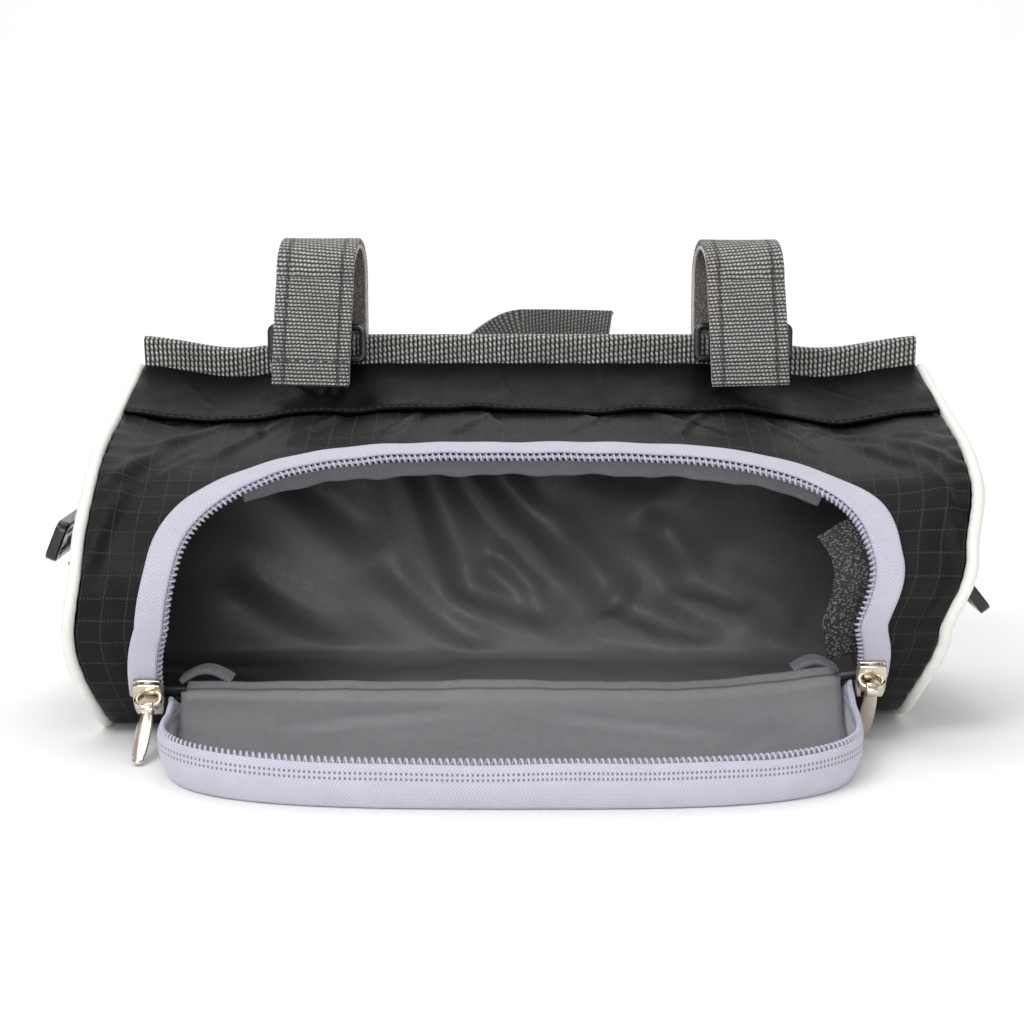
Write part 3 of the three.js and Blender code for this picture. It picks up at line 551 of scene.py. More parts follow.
def ripstopLook():
    # fine slanted twill with a dotted grid of doubled threads
    gridPitch, threadHalf, threadPitch = 6.8, 0.42, 0.95
    mat = newLook("ripstop", (0.01, 0.01, 0.011), 0.4, Specular_IOR_Level=0.17)
    u, v, uv = cutCoords(mat)
    twill = sine(scaled(u, 0.6, v), 0.72)
    fine = sine(scaled(u, -1.4, v), threadPitch)
    across = times(lineAt(u, gridPitch, threadHalf), sine(v, threadPitch))
    along = times(lineAt(v, gridPitch, threadHalf), sine(u, threadPitch))
    grid = calc("MAXIMUM", across, along)
    weave = scaled(twill, 0.35, times(fine, 0.15))
    cloud = noise(uv, 0.045, 4)
    base = blendColor(cloud, (0.0015, 0.0015, 0.0018), (0.0045, 0.0043, 0.0047))
    base = blendColor(times(twill, 0.45), base, (0.009, 0.0088, 0.009))
    # the grid's doubled threads are lighter: the ripstop's own grid, brightened further as a painted
    # highlight
    color = blendColor(times(grid, 0.7), base, (0.06, 0.058, 0.061))
    rough = ramp(scaled(cloud, 0.7, times(twill, 0.3)), 0.2, 0.8, 0.32, 0.5)
    return dress(mat, color, rough, scaled(grid, 0.9, weave), 0.8, 0.2)


def satinLook(name, dark, light, rough, sheen, shade=0.0, gloss=0.45, seamAt=None):
    # smooth satin twill, a fine slant and long faint slubs; shade is how much painted shade darkens it high
    # in the bag and towards its left end, where the lining lies in shadow
    mat = newLook(name, light, rough, Specular_IOR_Level=gloss, Sheen_Weight=sheen, Sheen_Roughness=0.35)
    u, v, uv = cutCoords(mat)
    slant = sine(plus(u, times(v, 0.55)), 0.8)
    cross = sine(v, 0.55)
    slub = noise(uv, 0.35, 5, 0.7)
    cloud = noise(uv, 0.03, 3)
    mix = scaled(slant, 0.45, times(slub, 0.6))
    color = blendColor(mix, dark, light)
    color = blendColor(times(cloud, 0.35), color, darker(dark, 0.7))
    if shade:
        # painted shade: the colour darkens with height and towards the left wall, standing in for shadow
        # inside the bag
        x, _, z = apart(mat.node_tree.nodes.new("ShaderNodeTexCoord").outputs["Object"])
        paintedShadeHigh, paintedShadeLeft = ramp(z, 0.006, 0.075, 0.0, shade), ramp(x, -0.05, -0.1, 0.0, 0.85 * shade)
        color = blendColor(calc("MAXIMUM", paintedShadeHigh, paintedShadeLeft), color, darker(dark, 0.2))
    if seamAt:
        # a thin dark line along the seam at the hinge: painted shade in the fold of the cloth there
        seam = ramp(absolute(minus(v, seamAt)), 0.7, 0.2)
        color = blendColor(times(seam, 0.7), color, darker(dark, 0.4))
    weave = scaled(slant, 0.6, times(cross, 0.3))
    return dress(mat, color, ramp(slub, 0.3, 0.7, rough - 0.06, rough + 0.1), weave, 0.35, 0.1)


def tapeLook(name, dark, light, stitchRows=()):
    # herringbone tape: slants that turn every 1.9 mm across, with rows of stitch holes at given places across
    mat = newLook(name, light, 0.72, Sheen_Weight=0.2, Sheen_Roughness=0.5)
    u, v, uv = cutCoords(mat)
    slant = sine(plus(u, calc("PINGPONG", v, 1.9)), 1.05)
    cross = sine(v, 0.62)
    cloud = noise(uv, 0.12, 4)
    weave = scaled(slant, 0.6, times(cross, 0.3))
    color = blendColor(scaled(weave, 0.65, times(cloud, 0.4)), dark, light)
    height = weave
    for place in stitchRows:
        row = ramp(absolute(minus(v, place)), 0.55, 0.15)
        hole = times(row, ramp(sine(u, 1.35), 0.45, 0.75))
        color = blendColor(times(hole, 0.85), color, darker(dark, 0.28))
        height = minus(height, times(hole, 1.4))
    return dress(mat, color, ramp(cloud, 0.3, 0.7, 0.62, 0.82), height, 0.5, 0.16)


def webbingLook(name, dark, light, rib=1.25, bead=1.6, groove=None):
    # ribs across the webbing, each a row of slanted beads, half a bead on from the row before;
    # groove is how far each of the two stitched lines lies from the middle
    mat = newLook(name, light, 0.75, Specular_IOR_Level=0.35, Sheen_Weight=0.12, Sheen_Roughness=0.5)
    u, v, uv = cutCoords(mat)
    wobble = scaled(noise(uv, 0.3, 2), 0.5, u)
    ridge = absolute(calc("SINE", times(wobble, pi / rib)))
    row = calc("FLOOR", calc("DIVIDE", wobble, rib))
    slide = scaled(row, pi, times(wobble, 1.6))
    beads = scaled(calc("SINE", scaled(v, 2 * pi / bead, slide)), 0.5, 0.5)
    fleck = noise(uv, 1.6, 3, 0.7)
    height = times(ridge, scaled(beads, 0.5, 0.5))
    shade = times(ramp(height, 0.2, 1.0), ramp(fleck, 0.3, 0.68, 0.25, 1.0))
    cloud = noise(uv, 0.06, 3)
    shade = times(shade, ramp(cloud, 0.3, 0.7, 0.75, 1.0))
    if groove:
        away = absolute(minus(absolute(v), groove))
        sunk = ramp(away, 0.9, 0.25)
        shade = times(shade, scaled(sunk, -0.6, 1.0))
        height = minus(height, sunk)
    return dress(mat, blendColor(shade, dark, light), ramp(fleck, 0.3, 0.7, 0.6, 0.85), height, 0.9, 0.5)


def plainWeaveLook(name, dark, light, rough, pitch, strength, depth, **more):
    # over and under threads of one pitch, with cloudy wear
    mat = newLook(name, light, rough, **more)
    u, v, uv = cutCoords(mat)
    one, two = sine(u, pitch), sine(v, pitch)
    check = scaled(one, 0.5, times(two, 0.5))
    cloud = noise(uv, 0.15, 5, 0.65)
    color = blendColor(scaled(check, 0.5, times(cloud, 0.5)), dark, light)
    return dress(mat, color, ramp(cloud, 0.3, 0.7, rough - 0.08, rough + 0.08), check, strength, depth)


def fleckedLook(name, dark, light, rough, scale, strength, depth, **more):
    # hook or mesh cloth: sharp bright flecks over a dark ground
    mat = newLook(name, light, rough, **more)
    uv = cutCoords(mat)[2]
    cell = mat.node_tree.nodes.new("ShaderNodeTexVoronoi")
    put(cell.inputs["Scale"], scale)
    put(cell.inputs["Vector"], uv)
    spot = ramp(cell.outputs["Distance"], 0.6, 0.15)
    grain = noise(uv, scale * 0.8, 4, 0.7)
    color = blendColor(times(spot, grain), dark, light)
    return dress(mat, color, ramp(grain, 0.3, 0.7, rough - 0.1, rough + 0.1), spot, strength, depth)


def hardLook(name, color, rough, metal, scale, wear, **more):
    # moulded or plated: faint scratches and smears in the gloss, small unevenness
    mat = newLook(name, color, rough, Metallic=metal, **more)
    uv = cutCoords(mat)[2]
    smear, fine = noise(uv, scale, 6, 0.65), noise(uv, scale * 9, 2)
    gloss = ramp(smear, 0.35, 0.7, rough - wear, rough + wear)
    color = blendColor(smear, darker(color, 0.82), color)
    return dress(mat, color, gloss, scaled(fine, 0.4, smear), 0.12, 0.05)


ripstop = ripstopLook()
bandCloth = plainWeaveLook("band cloth", (0.001, 0.001, 0.0011), (0.004, 0.0039, 0.0042), 0.4, 0.62, 0.4,
                           0.12, Specular_IOR_Level=0.06)
# 0.97 is the strength of the lining's painted shade, high in the bag and on its left wall
satin = satinLook("satin lining", (0.13, 0.121, 0.131), (0.27, 0.256, 0.273), 0.36, 0.05, 0.97, 0.22)
# seamAt puts a painted shade line along the hinge seam
doorSatin = satinLook("door lining", (0.12, 0.115, 0.123), (0.275, 0.266, 0.282), 0.5, 0.2,
                      seamAt=doorReach + 1.0)
tape = tapeLook("zip tape", (0.31, 0.305, 0.37), (0.6, 0.592, 0.68))
doorTape = tapeLook("door tape", (0.33, 0.325, 0.39), (0.62, 0.61, 0.7), (2.5, 4.0))
grayBinding = tapeLook("inner binding", (0.06, 0.06, 0.068), (0.19, 0.19, 0.21))
webbing = webbingLook("webbing", (0.03, 0.028, 0.027), (0.34, 0.325, 0.31), 1.2, 1.3)
strapWebbing = webbingLook("strap webbing", (0.03, 0.028, 0.027), (0.75, 0.725, 0.7), 1.2, 1.3, 8.8)
rimWebbing = webbingLook("rim webbing", (0.01, 0.0095, 0.009), (0.85, 0.82, 0.79), 1.5, 1.9)
hookCloth = fleckedLook("hook cloth", (0.09, 0.08, 0.075), (0.4, 0.36, 0.34), 0.85, 1.4, 0.8, 0.3)
edgeCloth = plainWeaveLook("strap edge", (0.42, 0.39, 0.37), (0.66, 0.62, 0.59), 0.7, 0.8, 0.5, 0.15)
meshCloth = fleckedLook("mesh cloth", (0.016, 0.016, 0.017), (0.34, 0.34, 0.35), 0.8, 1.1, 0.9, 0.4)
pipingSkin = plainWeaveLook("piping", (0.68, 0.665, 0.63), (0.82, 0.805, 0.77), 0.42, 0.5, 0.15, 0.05,
                            Specular_IOR_Level=0.5, Coat_Weight=0.1)
coilNylon = hardLook("coil nylon", (0.5, 0.49, 0.6), 0.38, 0.0, 0.8, 0.1, Specular_IOR_Level=0.55)
blackPlastic = hardLook("black plastic", (0.008, 0.008, 0.0085), 0.28, 0.0, 0.25, 0.12, Coat_Weight=0.15)
plating = hardLook("champagne plating", (0.83, 0.74, 0.63), 0.16, 1.0, 0.35, 0.08)
threadDark = plainWeaveLook("dark thread", (0.01, 0.01, 0.011), (0.05, 0.05, 0.052), 0.6, 0.4, 0.3, 0.05)
threadGray = plainWeaveLook("grey thread", (0.1, 0.098, 0.1), (0.28, 0.27, 0.27), 0.6, 0.4, 0.3, 0.05)
print("materials made")


# the roll: wrap, band, back, ends, piping

zipX, zipS = zipU[0], zipU[1]
rightHalf = zipX > 0


def insideMouth(x, s):
    # inside the U line: nearer the middle than the line's half width at that distance down
    order = np.argsort(zipS[rightHalf])
    half = np.interp(s, zipS[rightHalf][order], zipX[rightHalf][order])
    return (np.abs(x) < half) & (s > zipAt) & (s < hingeAt)


def mouthDistance(x, s):
    # distance of each point from the nearest sixth point of the U line
    d = np.full(np.shape(x), 1e9)
    for a, b in zip(zipX[::6], zipS[::6]):
        d = np.minimum(d, np.hypot(x - a, s - b))
    return d


def wrapCloth(x, s, lift):
    # plain surface + unevenness * (1 - 0.8 * bell of the distance from the zip)
    calm = 1 - 0.8 * np.exp(-(mouthDistance(x, s) / 9) ** 2)
    return plainSkin(x, s, lift + wrapSwell(x, s) * calm)


def cellMiddles(u, v):
    # grids of the places halfway between neighbours
    gu, gv = np.meshgrid((u[1:] + u[:-1]) / 2, (v[1:] + v[:-1]) / 2)
    return gu, gv


acrossWrap = np.linspace(-endX, endX, 210)
downWrap = np.r_[np.linspace(seamGap, hingeAt, 130), np.linspace(hingeAt, wrapLength - 1, 40)[1:]]
sheetPiece("wrap_cloth", wrapCloth, acrossWrap, downWrap, clothThick, ["wrap_panel"], ripstop,
           keep=~insideMouth(*cellMiddles(acrossWrap, downWrap)))


bandFolds = [(-86, 4, -70, 30, 2.2, 0.8), (-62, 2, -66, 34, 1.8, 0.6), (-10, 6, -4, 34, 1.4, 0.5),
             (24, 4, 26, 36, 1.2, 0.5), (92, 6, 112, 30, 2.0, 0.7), (-116, 8, -100, 34, 1.8, 0.5)]
band = {"thick": 1.2, "lift": 1.5, "stitchAt": 1.6, "past": 3}


def bandSurface(x, s, lift):
    # plain surface with a swaying hem: lift + waves + folds - stitched groove
    sway = 0.6 * np.sin(x / 23) + 0.4 * np.sin(x / 9 + 1)   # the hem isn't quite straight
    hem = 0.35 * np.exp(-((s - hemAt - band["stitchAt"]) / 0.35) ** 2)
    t = s + sway * smooth((s - 25) / 15)
    swell = 0.8 * waves(x, s, 30, 5) * smooth(s / 8) * 0.5
    return plainSkin(x, t, lift + swell + 0.45 + creases(x, s, bandFolds) - hem)


downBand = np.r_[np.linspace(seamGap, hemAt, 34), hemAt + np.linspace(0.3, band["past"], 10)]
sheetPiece("band_cloth", bandSurface, np.linspace(-endX, endX, 260), downBand, band["thick"], ["top_band"],
           bandCloth, lift=band["lift"])


def backCloth(x, s, lift):
    # back surface with a sag that fades at the floor and below the rim
    sag = 0.5 * waves(x, s, 34, 8) * smooth(s / 12) * smooth((backLength - 14 - s) / 14)
    return backSkin(x, s, lift + sag)


downBack = np.linspace(seamGap, backLength, 90)
sheetPiece("back_cloth", backCloth, acrossWrap[::2], downBack, clothThick, ["back_panel"], ripstop)

# rim webbing: a path round the edge, from the front foot over the top to the back foot
rimFront, rimFoot, rimTop = clothThick + seamGap, backLength - rimHeight + 0.6, backLength + seamGap
webThick, ribPitch, ribRise = 1.5, 1.5, 0.16


def rimPath(out):
    # (s, lift) round the rim at a distance out from its inside face, with a soft turn over the top
    a = np.linspace(0, pi, 9)
    half = (rimFront + seamGap) / 2 + out
    arc = np.stack([rimTop + out * np.sin(a), -rimFront + (rimFront + seamGap) / 2 - half * np.cos(a)], -1)
    up = np.linspace(rimFoot, rimTop, 12)[:-1]
    return np.vstack([np.stack([up, np.full(11, -rimFront - out)], -1), arc,
                      np.stack([up[::-1], np.full(11, seamGap + out)], -1)])


def rimGrid(out):
    # back surface along the rim's path, with a wavy foot and ribs of rise * |sin(pi x / pitch)|; and its uv
    x = np.linspace(-endX, endX, 700)
    ridge = ribRise * np.abs(np.sin(pi * x / ribPitch)) ** 0.8
    path = rimPath(out)
    gx, gs = np.meshgrid(x, path[:, 0])
    lift = np.broadcast_to(path[:, 1:], gx.shape)
    wave = 0.25 * np.sin(gx / 4.3) * np.exp(-((gs - rimFoot) / 3) ** 2)
    sign = np.where(lift < -rimFront / 2, -1.0, 1.0)
    return backSkin(gx, gs - wave, lift + sign * (ridge[None] if out else 0)), (gx, runOf(path)[:, None])


outerRim, rimUv = rimGrid(webThick)
addMesh("rim_webbing", slabPart(rimGrid(0.0)[0], outerRim, *rimUv), ["rim_binding"], rimWebbing)


def endOutline(x, lift):
    # the D outline of an end as one closed ring, round the front and up the back
    s = np.linspace(0, wrapLength - 2, 200)
    back = np.linspace(seamGap, backLength - rimHeight, 70)[1:]
    return np.vstack([plainSkin(np.full_like(s, x), s, lift), backSkin(np.full_like(back, x), back, lift)])


def endRim(side, shares):
    # the end's rim inside its piping, drawn in to its middle by each share: middle + (rim - middle) * share;
    # also how far the end swells there, bulge * (1 - share squared), less near the floor
    rim = endOutline(side * halfWidth, -(pipingRadius * 2 - pipingProud + seamGap))
    rim[:, 2] = np.maximum(rim[:, 2], 2 * pipingRadius + 0.9)
    share = shares[:, None, None]
    spot = rim.mean(0) + (rim[None] - rim.mean(0)) * share
    return spot, bulge[side] * (1 - share[..., 0] ** 2) * smooth(spot[..., 2] / (bagHeight * 0.7))


def endCloth(side):
    # the swollen end as a closed part: puckers near the seam, soft dents, and a flat inside
    shares = np.linspace(1, 0.04, 40)
    spot, swell = endRim(side, shares)
    inner = 1 - shares[:, None]
    around = np.linspace(0, 2 * pi, spot.shape[1], endpoint=False)[None]
    pucker = 0.9 * np.exp(-inner / 0.12) * inner * 6 * np.sin(around * 26 + np.sin(around * 7) * 2)
    dent = 0.7 * waves(spot[..., 1], spot[..., 2], 30, 11 + side) * smooth(inner / 0.2)
    top, low = spot.copy(), spot.copy()
    top[..., 0] += side * (swell + pucker + dent)
    low[..., 0] += side * (swell - clothThick)
    n, m = top.shape[:2]
    grid, ring = gridFaces(n, m, True), np.arange(m)
    last, nextRing = (n - 1) * m + ring, np.roll(ring, -1)
    nextLast = np.roll(last, -1)
    faces = [grid[:, ::-1], grid + n * m, np.stack([ring, nextRing, nextRing + n * m, ring + n * m], -1),
             np.stack([np.full(m, 2 * n * m), nextLast, last], -1),
             np.stack([np.full(m, 2 * n * m + 1), last + n * m, nextLast + n * m], -1)]
    hubs = np.array([top[-1].mean(0), low[-1].mean(0)])
    points = np.concatenate([top.reshape(-1, 3), low.reshape(-1, 3), hubs])
    return points, outward(points, faces), points[:, 1:]


def pipingCord(side):
    # a round cord along the end's outline, its radius uneven by 3%
    line = endOutline(side * halfWidth, pipingProud - pipingRadius)
    line[:, 2] = np.maximum(line[:, 2], pipingRadius + seamGap)
    line = evenly(np.vstack([line, line[:1]]), 500)[:-1]
    _, one, two = frames(line, (1, 0, 0), True)
    k = np.arange(499)
    radius = pipingRadius * (1 + 0.03 * np.sin(k * 0.9) * np.sin(k * 0.083))
    return sweep(line, one, two, radius[:, None, None] * circle(16)[None], closed=True)


for side, name in ((-1, "left"), (1, "right")):
    addMesh(f"end_cloth_{name}", endCloth(side), [f"end_panel_{name}"], ripstop)
    addMesh(f"piping_cord_{name}", pipingCord(side), [f"piping_{name}"], pipingSkin)
print("roll made")


# lining

wallFolds = [(-24, 34, 12, 22, 5.0, 3.0), (-10, 46, 6, 30, 4.0, 2.6), (40, 26, 72, 14, 4.5, 3.0),
             (54, 34, 84, 26, 4.0, 2.4), (24, 20, 40, 34, 4.0, 2.2), (-40, 92, -14, 24, 7.0, 3.2),
             (-18, 84, 16, 40, 6.0, 3.4), (8, 60, 40, 20, 6.5, 3.0), (-46, 40, -12, 8, 5.5, 2.4),
             (44, 56, 78, 24, 6.0, 2.6), (70, 40, 104, 18, 6.0, 2.4), (30, 30, 64, 8, 5.0, 2.2),
             (-84, 78, -50, 50, 7.0, 2.0), (-96, 40, -60, 14, 6.0, 1.6), (18, 80, 50, 70, 7.0, 1.8)]
liningEnd, liningGap, liningFront, liningBack = 127.6, 0.8, wrapLength - 2, backLength - rimHeight


def liningRing(x, t):
    # t is 0 to 1 round it, down the front, along the floor, up the back: surface - (gap + slack + folds)
    d = t * (liningFront + liningBack)
    isFront = d < liningFront
    s = np.where(isFront, d, liningFront)
    up = np.where(isFront, 0.0, d - liningFront)
    slack = 1.8 * (1 - smooth((s - hingeAt) / 16))
    floorPart = smooth((s - hingeAt - 22) / 14) * isFront
    rise = smooth(up / 18)
    wall = creases(x, up, wallFolds) * rise * 1.15 + 0.9 * waves(x, up, 42, 21) * rise
    floor = (0.9 * waves(x, s, 38, 22) + 0.5) * floorPart
    sides = 0.5 * waves(x, s, 24, 23) * isFront * (1 - floorPart) * smooth((s - hingeAt) / 6)
    inward = np.maximum(np.where(isFront, floor + sides, wall + 1.2 * rise), -0.4)
    low = clothThick + liningGap + slack
    back = backSkin(x, up + 2.6 * np.exp(-up / 4), -low - inward)
    return np.where(isFront[..., None], plainSkin(x, s, -low - inward), back)


def liningWall(side, ring):
    # an end wall: the ring drawn in to its middle, with a soft pucker near the seam
    share = np.linspace(1, 0.0, 24)[:, None, None]
    middle = ring.mean(0)
    wall = middle + (np.vstack([ring, ring[:1]])[None] - middle) * share
    inner = 1 - share[..., 0]
    wall[..., 0] -= side * (0.2 + 1.6 * inner + 0.9 * waves(wall[..., 1], wall[..., 2], 26, 31) * inner)
    other = wall.copy()
    other[..., 0] += side * 0.9
    return slabPart(wall, other, wall[..., 1], wall[..., 2])


across, roundT = np.linspace(-liningEnd, liningEnd, 170), np.linspace(0, 1, 240)
gx, gt = np.meshgrid(across, roundT)
outside = liningRing(gx, gt)
inside = outside + unit((outside.mean(0, keepdims=True) - outside) * [0, 1, 1]) * liningThick
cx, ct = cellMiddles(across, roundT)
cs = ct * (liningFront + liningBack)
keep = ~(insideMouth(cx, cs) & (cs < wrapLength))
liningParts = [slabPart(outside, inside, gx, gt * 340, keep)]
liningParts += [liningWall(side, outside[:, column]) for side, column in ((-1, 0), (1, -1))]
addMesh("satin_tub", joinParts(liningParts), ["lining"], satin)
print("lining made")


# zip round the mouth

def uPiece(line, surface, offsets, high, low, pick=slice(None)):
    # a strip along a U line, at line + normal * offset: high and low are lifts of its two faces
    x, s, nx, ns = (a[pick][:, None] for a in line)
    o = np.atleast_2d(np.asarray(offsets, float))
    px, ps = x + nx * o, s + ns * o
    along = np.r_[0, np.cumsum(np.hypot(np.diff(x[:, 0]), np.diff(s[:, 0])))]
    return slabPart(surface(px, ps, low), surface(px, ps, high), along[:, None], o)


def tapeEdge(x, s, lift):
    # plain surface with the tape's small waves
    return plainSkin(x, s, lift + 0.25 * waves(x, s, 18, 41))


mouthTape = {"inner": -1.7, "outer": 6.5, "high": 2.1, "low": 1.15}
tapeOffsets = np.linspace(mouthTape["inner"], mouthTape["outer"], 12)
edgeRound = (0.35 * (1 - np.minimum(1, (mouthTape["outer"] - tapeOffsets) / 1.2))
             + 0.2 * (1 - np.minimum(1, (tapeOffsets - mouthTape["inner"]) / 0.8)))
narrow = 0.58 + 0.42 * smooth((zipS[:, None] - zipAt) / 26)   # the band hides part of the tape along the top
offsets = np.where(tapeOffsets > 0, tapeOffsets * narrow, tapeOffsets)
addMesh("mouth_tape", uPiece(zipU, tapeEdge, offsets, mouthTape["high"] - edgeRound[None], mouthTape["low"]),
        ["zip_tape"], tape)


def lineFrame(line, surface, offset, lift):
    # a U line moved by normal * offset and lift, with its side and up directions on the surface
    x, s, nx, ns = line
    p = surface(x + nx * offset, s + ns * offset, lift)
    up = unit(surface(x + nx * offset, s + ns * offset, lift + 1.0) - p)
    _, side, _ = frames(p, surface(x + nx * (offset + 1), s + ns * (offset + 1), lift) - p)
    return p, side, unit(np.cross(np.cross(side, up), side))


mouthCoil = {"reach": 1.25, "rise": 0.85, "wire": 0.42}
coilOffset, coilLift, coilCore = -1.75, -0.1, (0.55, 0.45)
p, side, up = lineFrame(zipU, tapeEdge, coilOffset, coilLift)
teeth = [coil(p, side, up, **mouthCoil), sweep(p, side, up, circle(10, *coilCore))]
addMesh("mouth_coil", joinParts(teeth), ["zip_coil"], coilNylon)

# binding that hangs inside the top of the opening, a slab whose two faces lean further in as they go down
binding = {"ends": (-86, 88), "within": 110, "high": -2.1, "low": -7.2, "faces": (0.9, 0.1)}
first, last = (int(np.argmin(np.abs(zipX - end) + 5 * (zipS > binding["within"]))) for end in binding["ends"])
drop = np.linspace(binding["high"], binding["low"], 9)
x, s, nx, ns = (a[first:last] for a in zipU)
wavy = 0.5 * np.sin(x / 4.1) + 0.3 * np.sin(x / 1.9)
faces = []
for off in binding["faces"]:
    rows = [(off + 0.05 * k, d - wavy * 0.1 * k) for k, d in enumerate(drop)]
    faces.append(np.stack([plainSkin(x - nx * out, s - ns * out, lift) for out, lift in rows], 1))
bindingPart = slabPart(*faces, x[:, None], drop[None])
addMesh("hanging_binding", bindingPart, ["inner_binding"], grayBinding)

strip = {"offsets": np.linspace(-12.5, -0.2, 14), "high": -5.0, "low": -5.8, "pick": slice(338, 408)}
crumple = lambda x, s, lift: plainSkin(x, s, lift - 0.2 + 0.2 * waves(x, s, 12, 51))
addMesh("speckled_strip", uPiece(zipU, crumple, **strip), ["mesh_strip"], meshCloth)
print("mouth made")


# door

hingeY, hingeZ = wrapPath.at(np.array(hingeAt))[:2]
t = np.linspace(0, 1, 200)
fall = doorLow + (hingeZ - doorLow) * np.maximum(1 - t * doorReach / doorRun, 0) ** 2
stepY = np.sqrt(np.maximum((doorReach / 199) ** 2 - np.diff(fall) ** 2, 0))
doorPath = Path(np.stack([hingeY - seamGap - np.r_[0, np.cumsum(stepY)], fall], -1))


def doorSkin(x, s, lift):
    # door surface: s runs back from the front edge to the hinge, point + normal * lift, raised at the right
    y, z, ty, tz = doorPath.at(doorReach - s)
    near = smooth(1 - (doorReach - s) / doorRun)
    raised = cornerRaise(x, hingeY, hingeZ / bagHeight) * near
    share = endShare(x, np.full_like(x, hingeZ / bagHeight))
    return np.stack([x * (1 + share), y + tz * lift, z - ty * lift + raised], -1)


def wallTop(s):
    # height of the standing rim: less where the door climbs to the hinge
    return np.maximum(wallHeight - (doorPath.at(doorReach - s)[1] - doorLow), 1.6)


def doorGrid(past=0.0):
    # rows along the U from its front to the hinge and past it, each from edge to edge
    x, s = doorU[0], doorU[1]
    right = (x > 0.5) & (s <= doorReach)
    order = np.argsort(s[right])
    half, down = x[right][order], s[right][order]
    if past:
        half = np.r_[half, np.full(8, half[-1] - 1.5)]
        down = np.r_[down, down[-1] + np.linspace(0.4, past, 8)]
    share = np.linspace(-1, 1, 90)
    return np.stack([half[:, None] * share[None], np.repeat(down[:, None], 90, 1)])


dx, ds = doorGrid()
flat = 0.0 * dx
doorPart = slabPart(doorSkin(dx, ds, flat), doorSkin(dx, ds, flat - clothThick), dx, ds)
doorCloth = addMesh("door_cloth", doorPart, ["door_panel"], ripstop)
doorFolds = [(-70, 52, -20, 60, 3, 0.5), (10, 58, 60, 48, 3, 0.5), (60, 30, 84, 50, 3, 0.5)]
doorLining = {"past": 5.0, "high": 1.8, "low": 0.3, "step": 1.2}
dx, ds = doorGrid(doorLining["past"])
ruck = 0.5 * waves(dx, ds, 30, 61) * smooth(ds / 10) + creases(dx, ds, doorFolds)
over = doorLining["step"] * smooth((ds - doorReach + 3) / 3)   # lifts over the lip at the hinge
high, low = doorLining["high"] + over + np.maximum(ruck, -0.4), doorLining["low"] + over
doorPart = slabPart(doorSkin(dx, ds, high), doorSkin(dx, ds, low), dx, ds)
addMesh("door_satin", doorPart, ["door_lining"], doorSatin)

# the door's tape stands up as a rim: it leans out and bellies, and its top edge is rounded
doorWall = {"foot": 1.6, "gap": 0.3, "thick": 1.3, "belly": 1.1, "round": 0.5}
wx, ws, wnx, wns = (a[:, None] for a in doorU)
rise = np.linspace(0, 1, 22)[None]
topHere = wallTop(ws)
sway = 0.35 * np.sin(wx / 17) + 0.25 * np.sin(wx / 7.3 + ws / 9)
lift = -doorWall["foot"] + (topHere + doorWall["foot"] + sway * 0.6) * rise
belly = doorWall["belly"] * np.sin(pi * np.minimum(rise * 1.05, 1)) * np.minimum(1, topHere / 6)
roundEdge = doorWall["round"] * np.maximum(0, (rise - 0.93) / 0.07) ** 2
out = doorWall["gap"] + wallLean * rise + belly + doorWall["thick"] - roundEdge
back = doorWall["gap"] + wallLean * rise + belly + roundEdge
faceIn, faceOut = (doorSkin(wx + wnx * off, ws + wns * off, lift) for off in (back, out))
along = np.r_[0, np.cumsum(np.hypot(np.diff(doorU[0]), np.diff(doorU[1])))][:, None]
doorPart = slabPart(faceIn, faceOut, along, (1 - rise) * (topHere + doorWall["foot"]))
addMesh("door_wall", doorPart, ["door_tape"], doorTape)

doorCoil = {"reach": 0.55, "rise": 1.0, "wire": 0.4}
coilOut, coilEnds = wallLean + 0.1, slice(8, -8)
liftTop = wallTop(doorU[1]) + 0.15
p = doorSkin(doorU[0] + doorU[2] * coilOut, doorU[1] + doorU[3] * coilOut, liftTop)
up = unit(doorSkin(doorU[0], doorU[1], liftTop + 1.0) - doorSkin(doorU[0], doorU[1], liftTop))
_, side, up = frames(p, np.cross(up, np.gradient(p, axis=0)))
addMesh("door_teeth", coil(p[coilEnds], side[coilEnds], up[coilEnds], **doorCoil), ["door_coil"],
        coilNylon)
print("door made")


# straps

def bandPiece(line, across, width, low, high, radius=0.6):
    # a flat band along a line: rounded section, width across and from low to high outwards; returns a part
    _, side, up = frames(line, across)
    profile = roundedBox(width, high - low, radius)[::-1] + [0, (high + low) / 2]
    points, faces, _ = sweep(line, side, up, profile)
    along = runOf(line)
    return points, faces, np.vstack([uvOf(along[:, None], profile[None, :, 0]), [[0, 0], [along[-1], 0]]])


strapPlaces = ((-69.0, 1, "left"), (73.0, -1, "right"))
barStrap = {"foot": 34, "endAt": 25.0, "arch": 11, "archUp": 22, "shift": 4, "turn": 0.053, "slack": 0.8}
strapBand = {"width": strapWidth, "low": 0, "high": strapThick, "radius": 0.8}
strapLiner = {"width": strapWidth - 1.4, "low": -0.3 - linerThick, "high": -0.25, "radius": 0.4}
strapEdge = {"inset": 0.5, "drop": 0.75, "box": (0.9, 1.3, 0.4)}
strapStitch = {"rows": 0.34, "cross": 0.42, "from": 70, "to": 4, "crossAt": 14, "proud": 0.02}
rowStitch, crossStitch = {"pitch": 2.6, "size": (2.0, 0.45, 0.4)}, {"pitch": 2.4, "size": (1.8, 0.45, 0.4)}


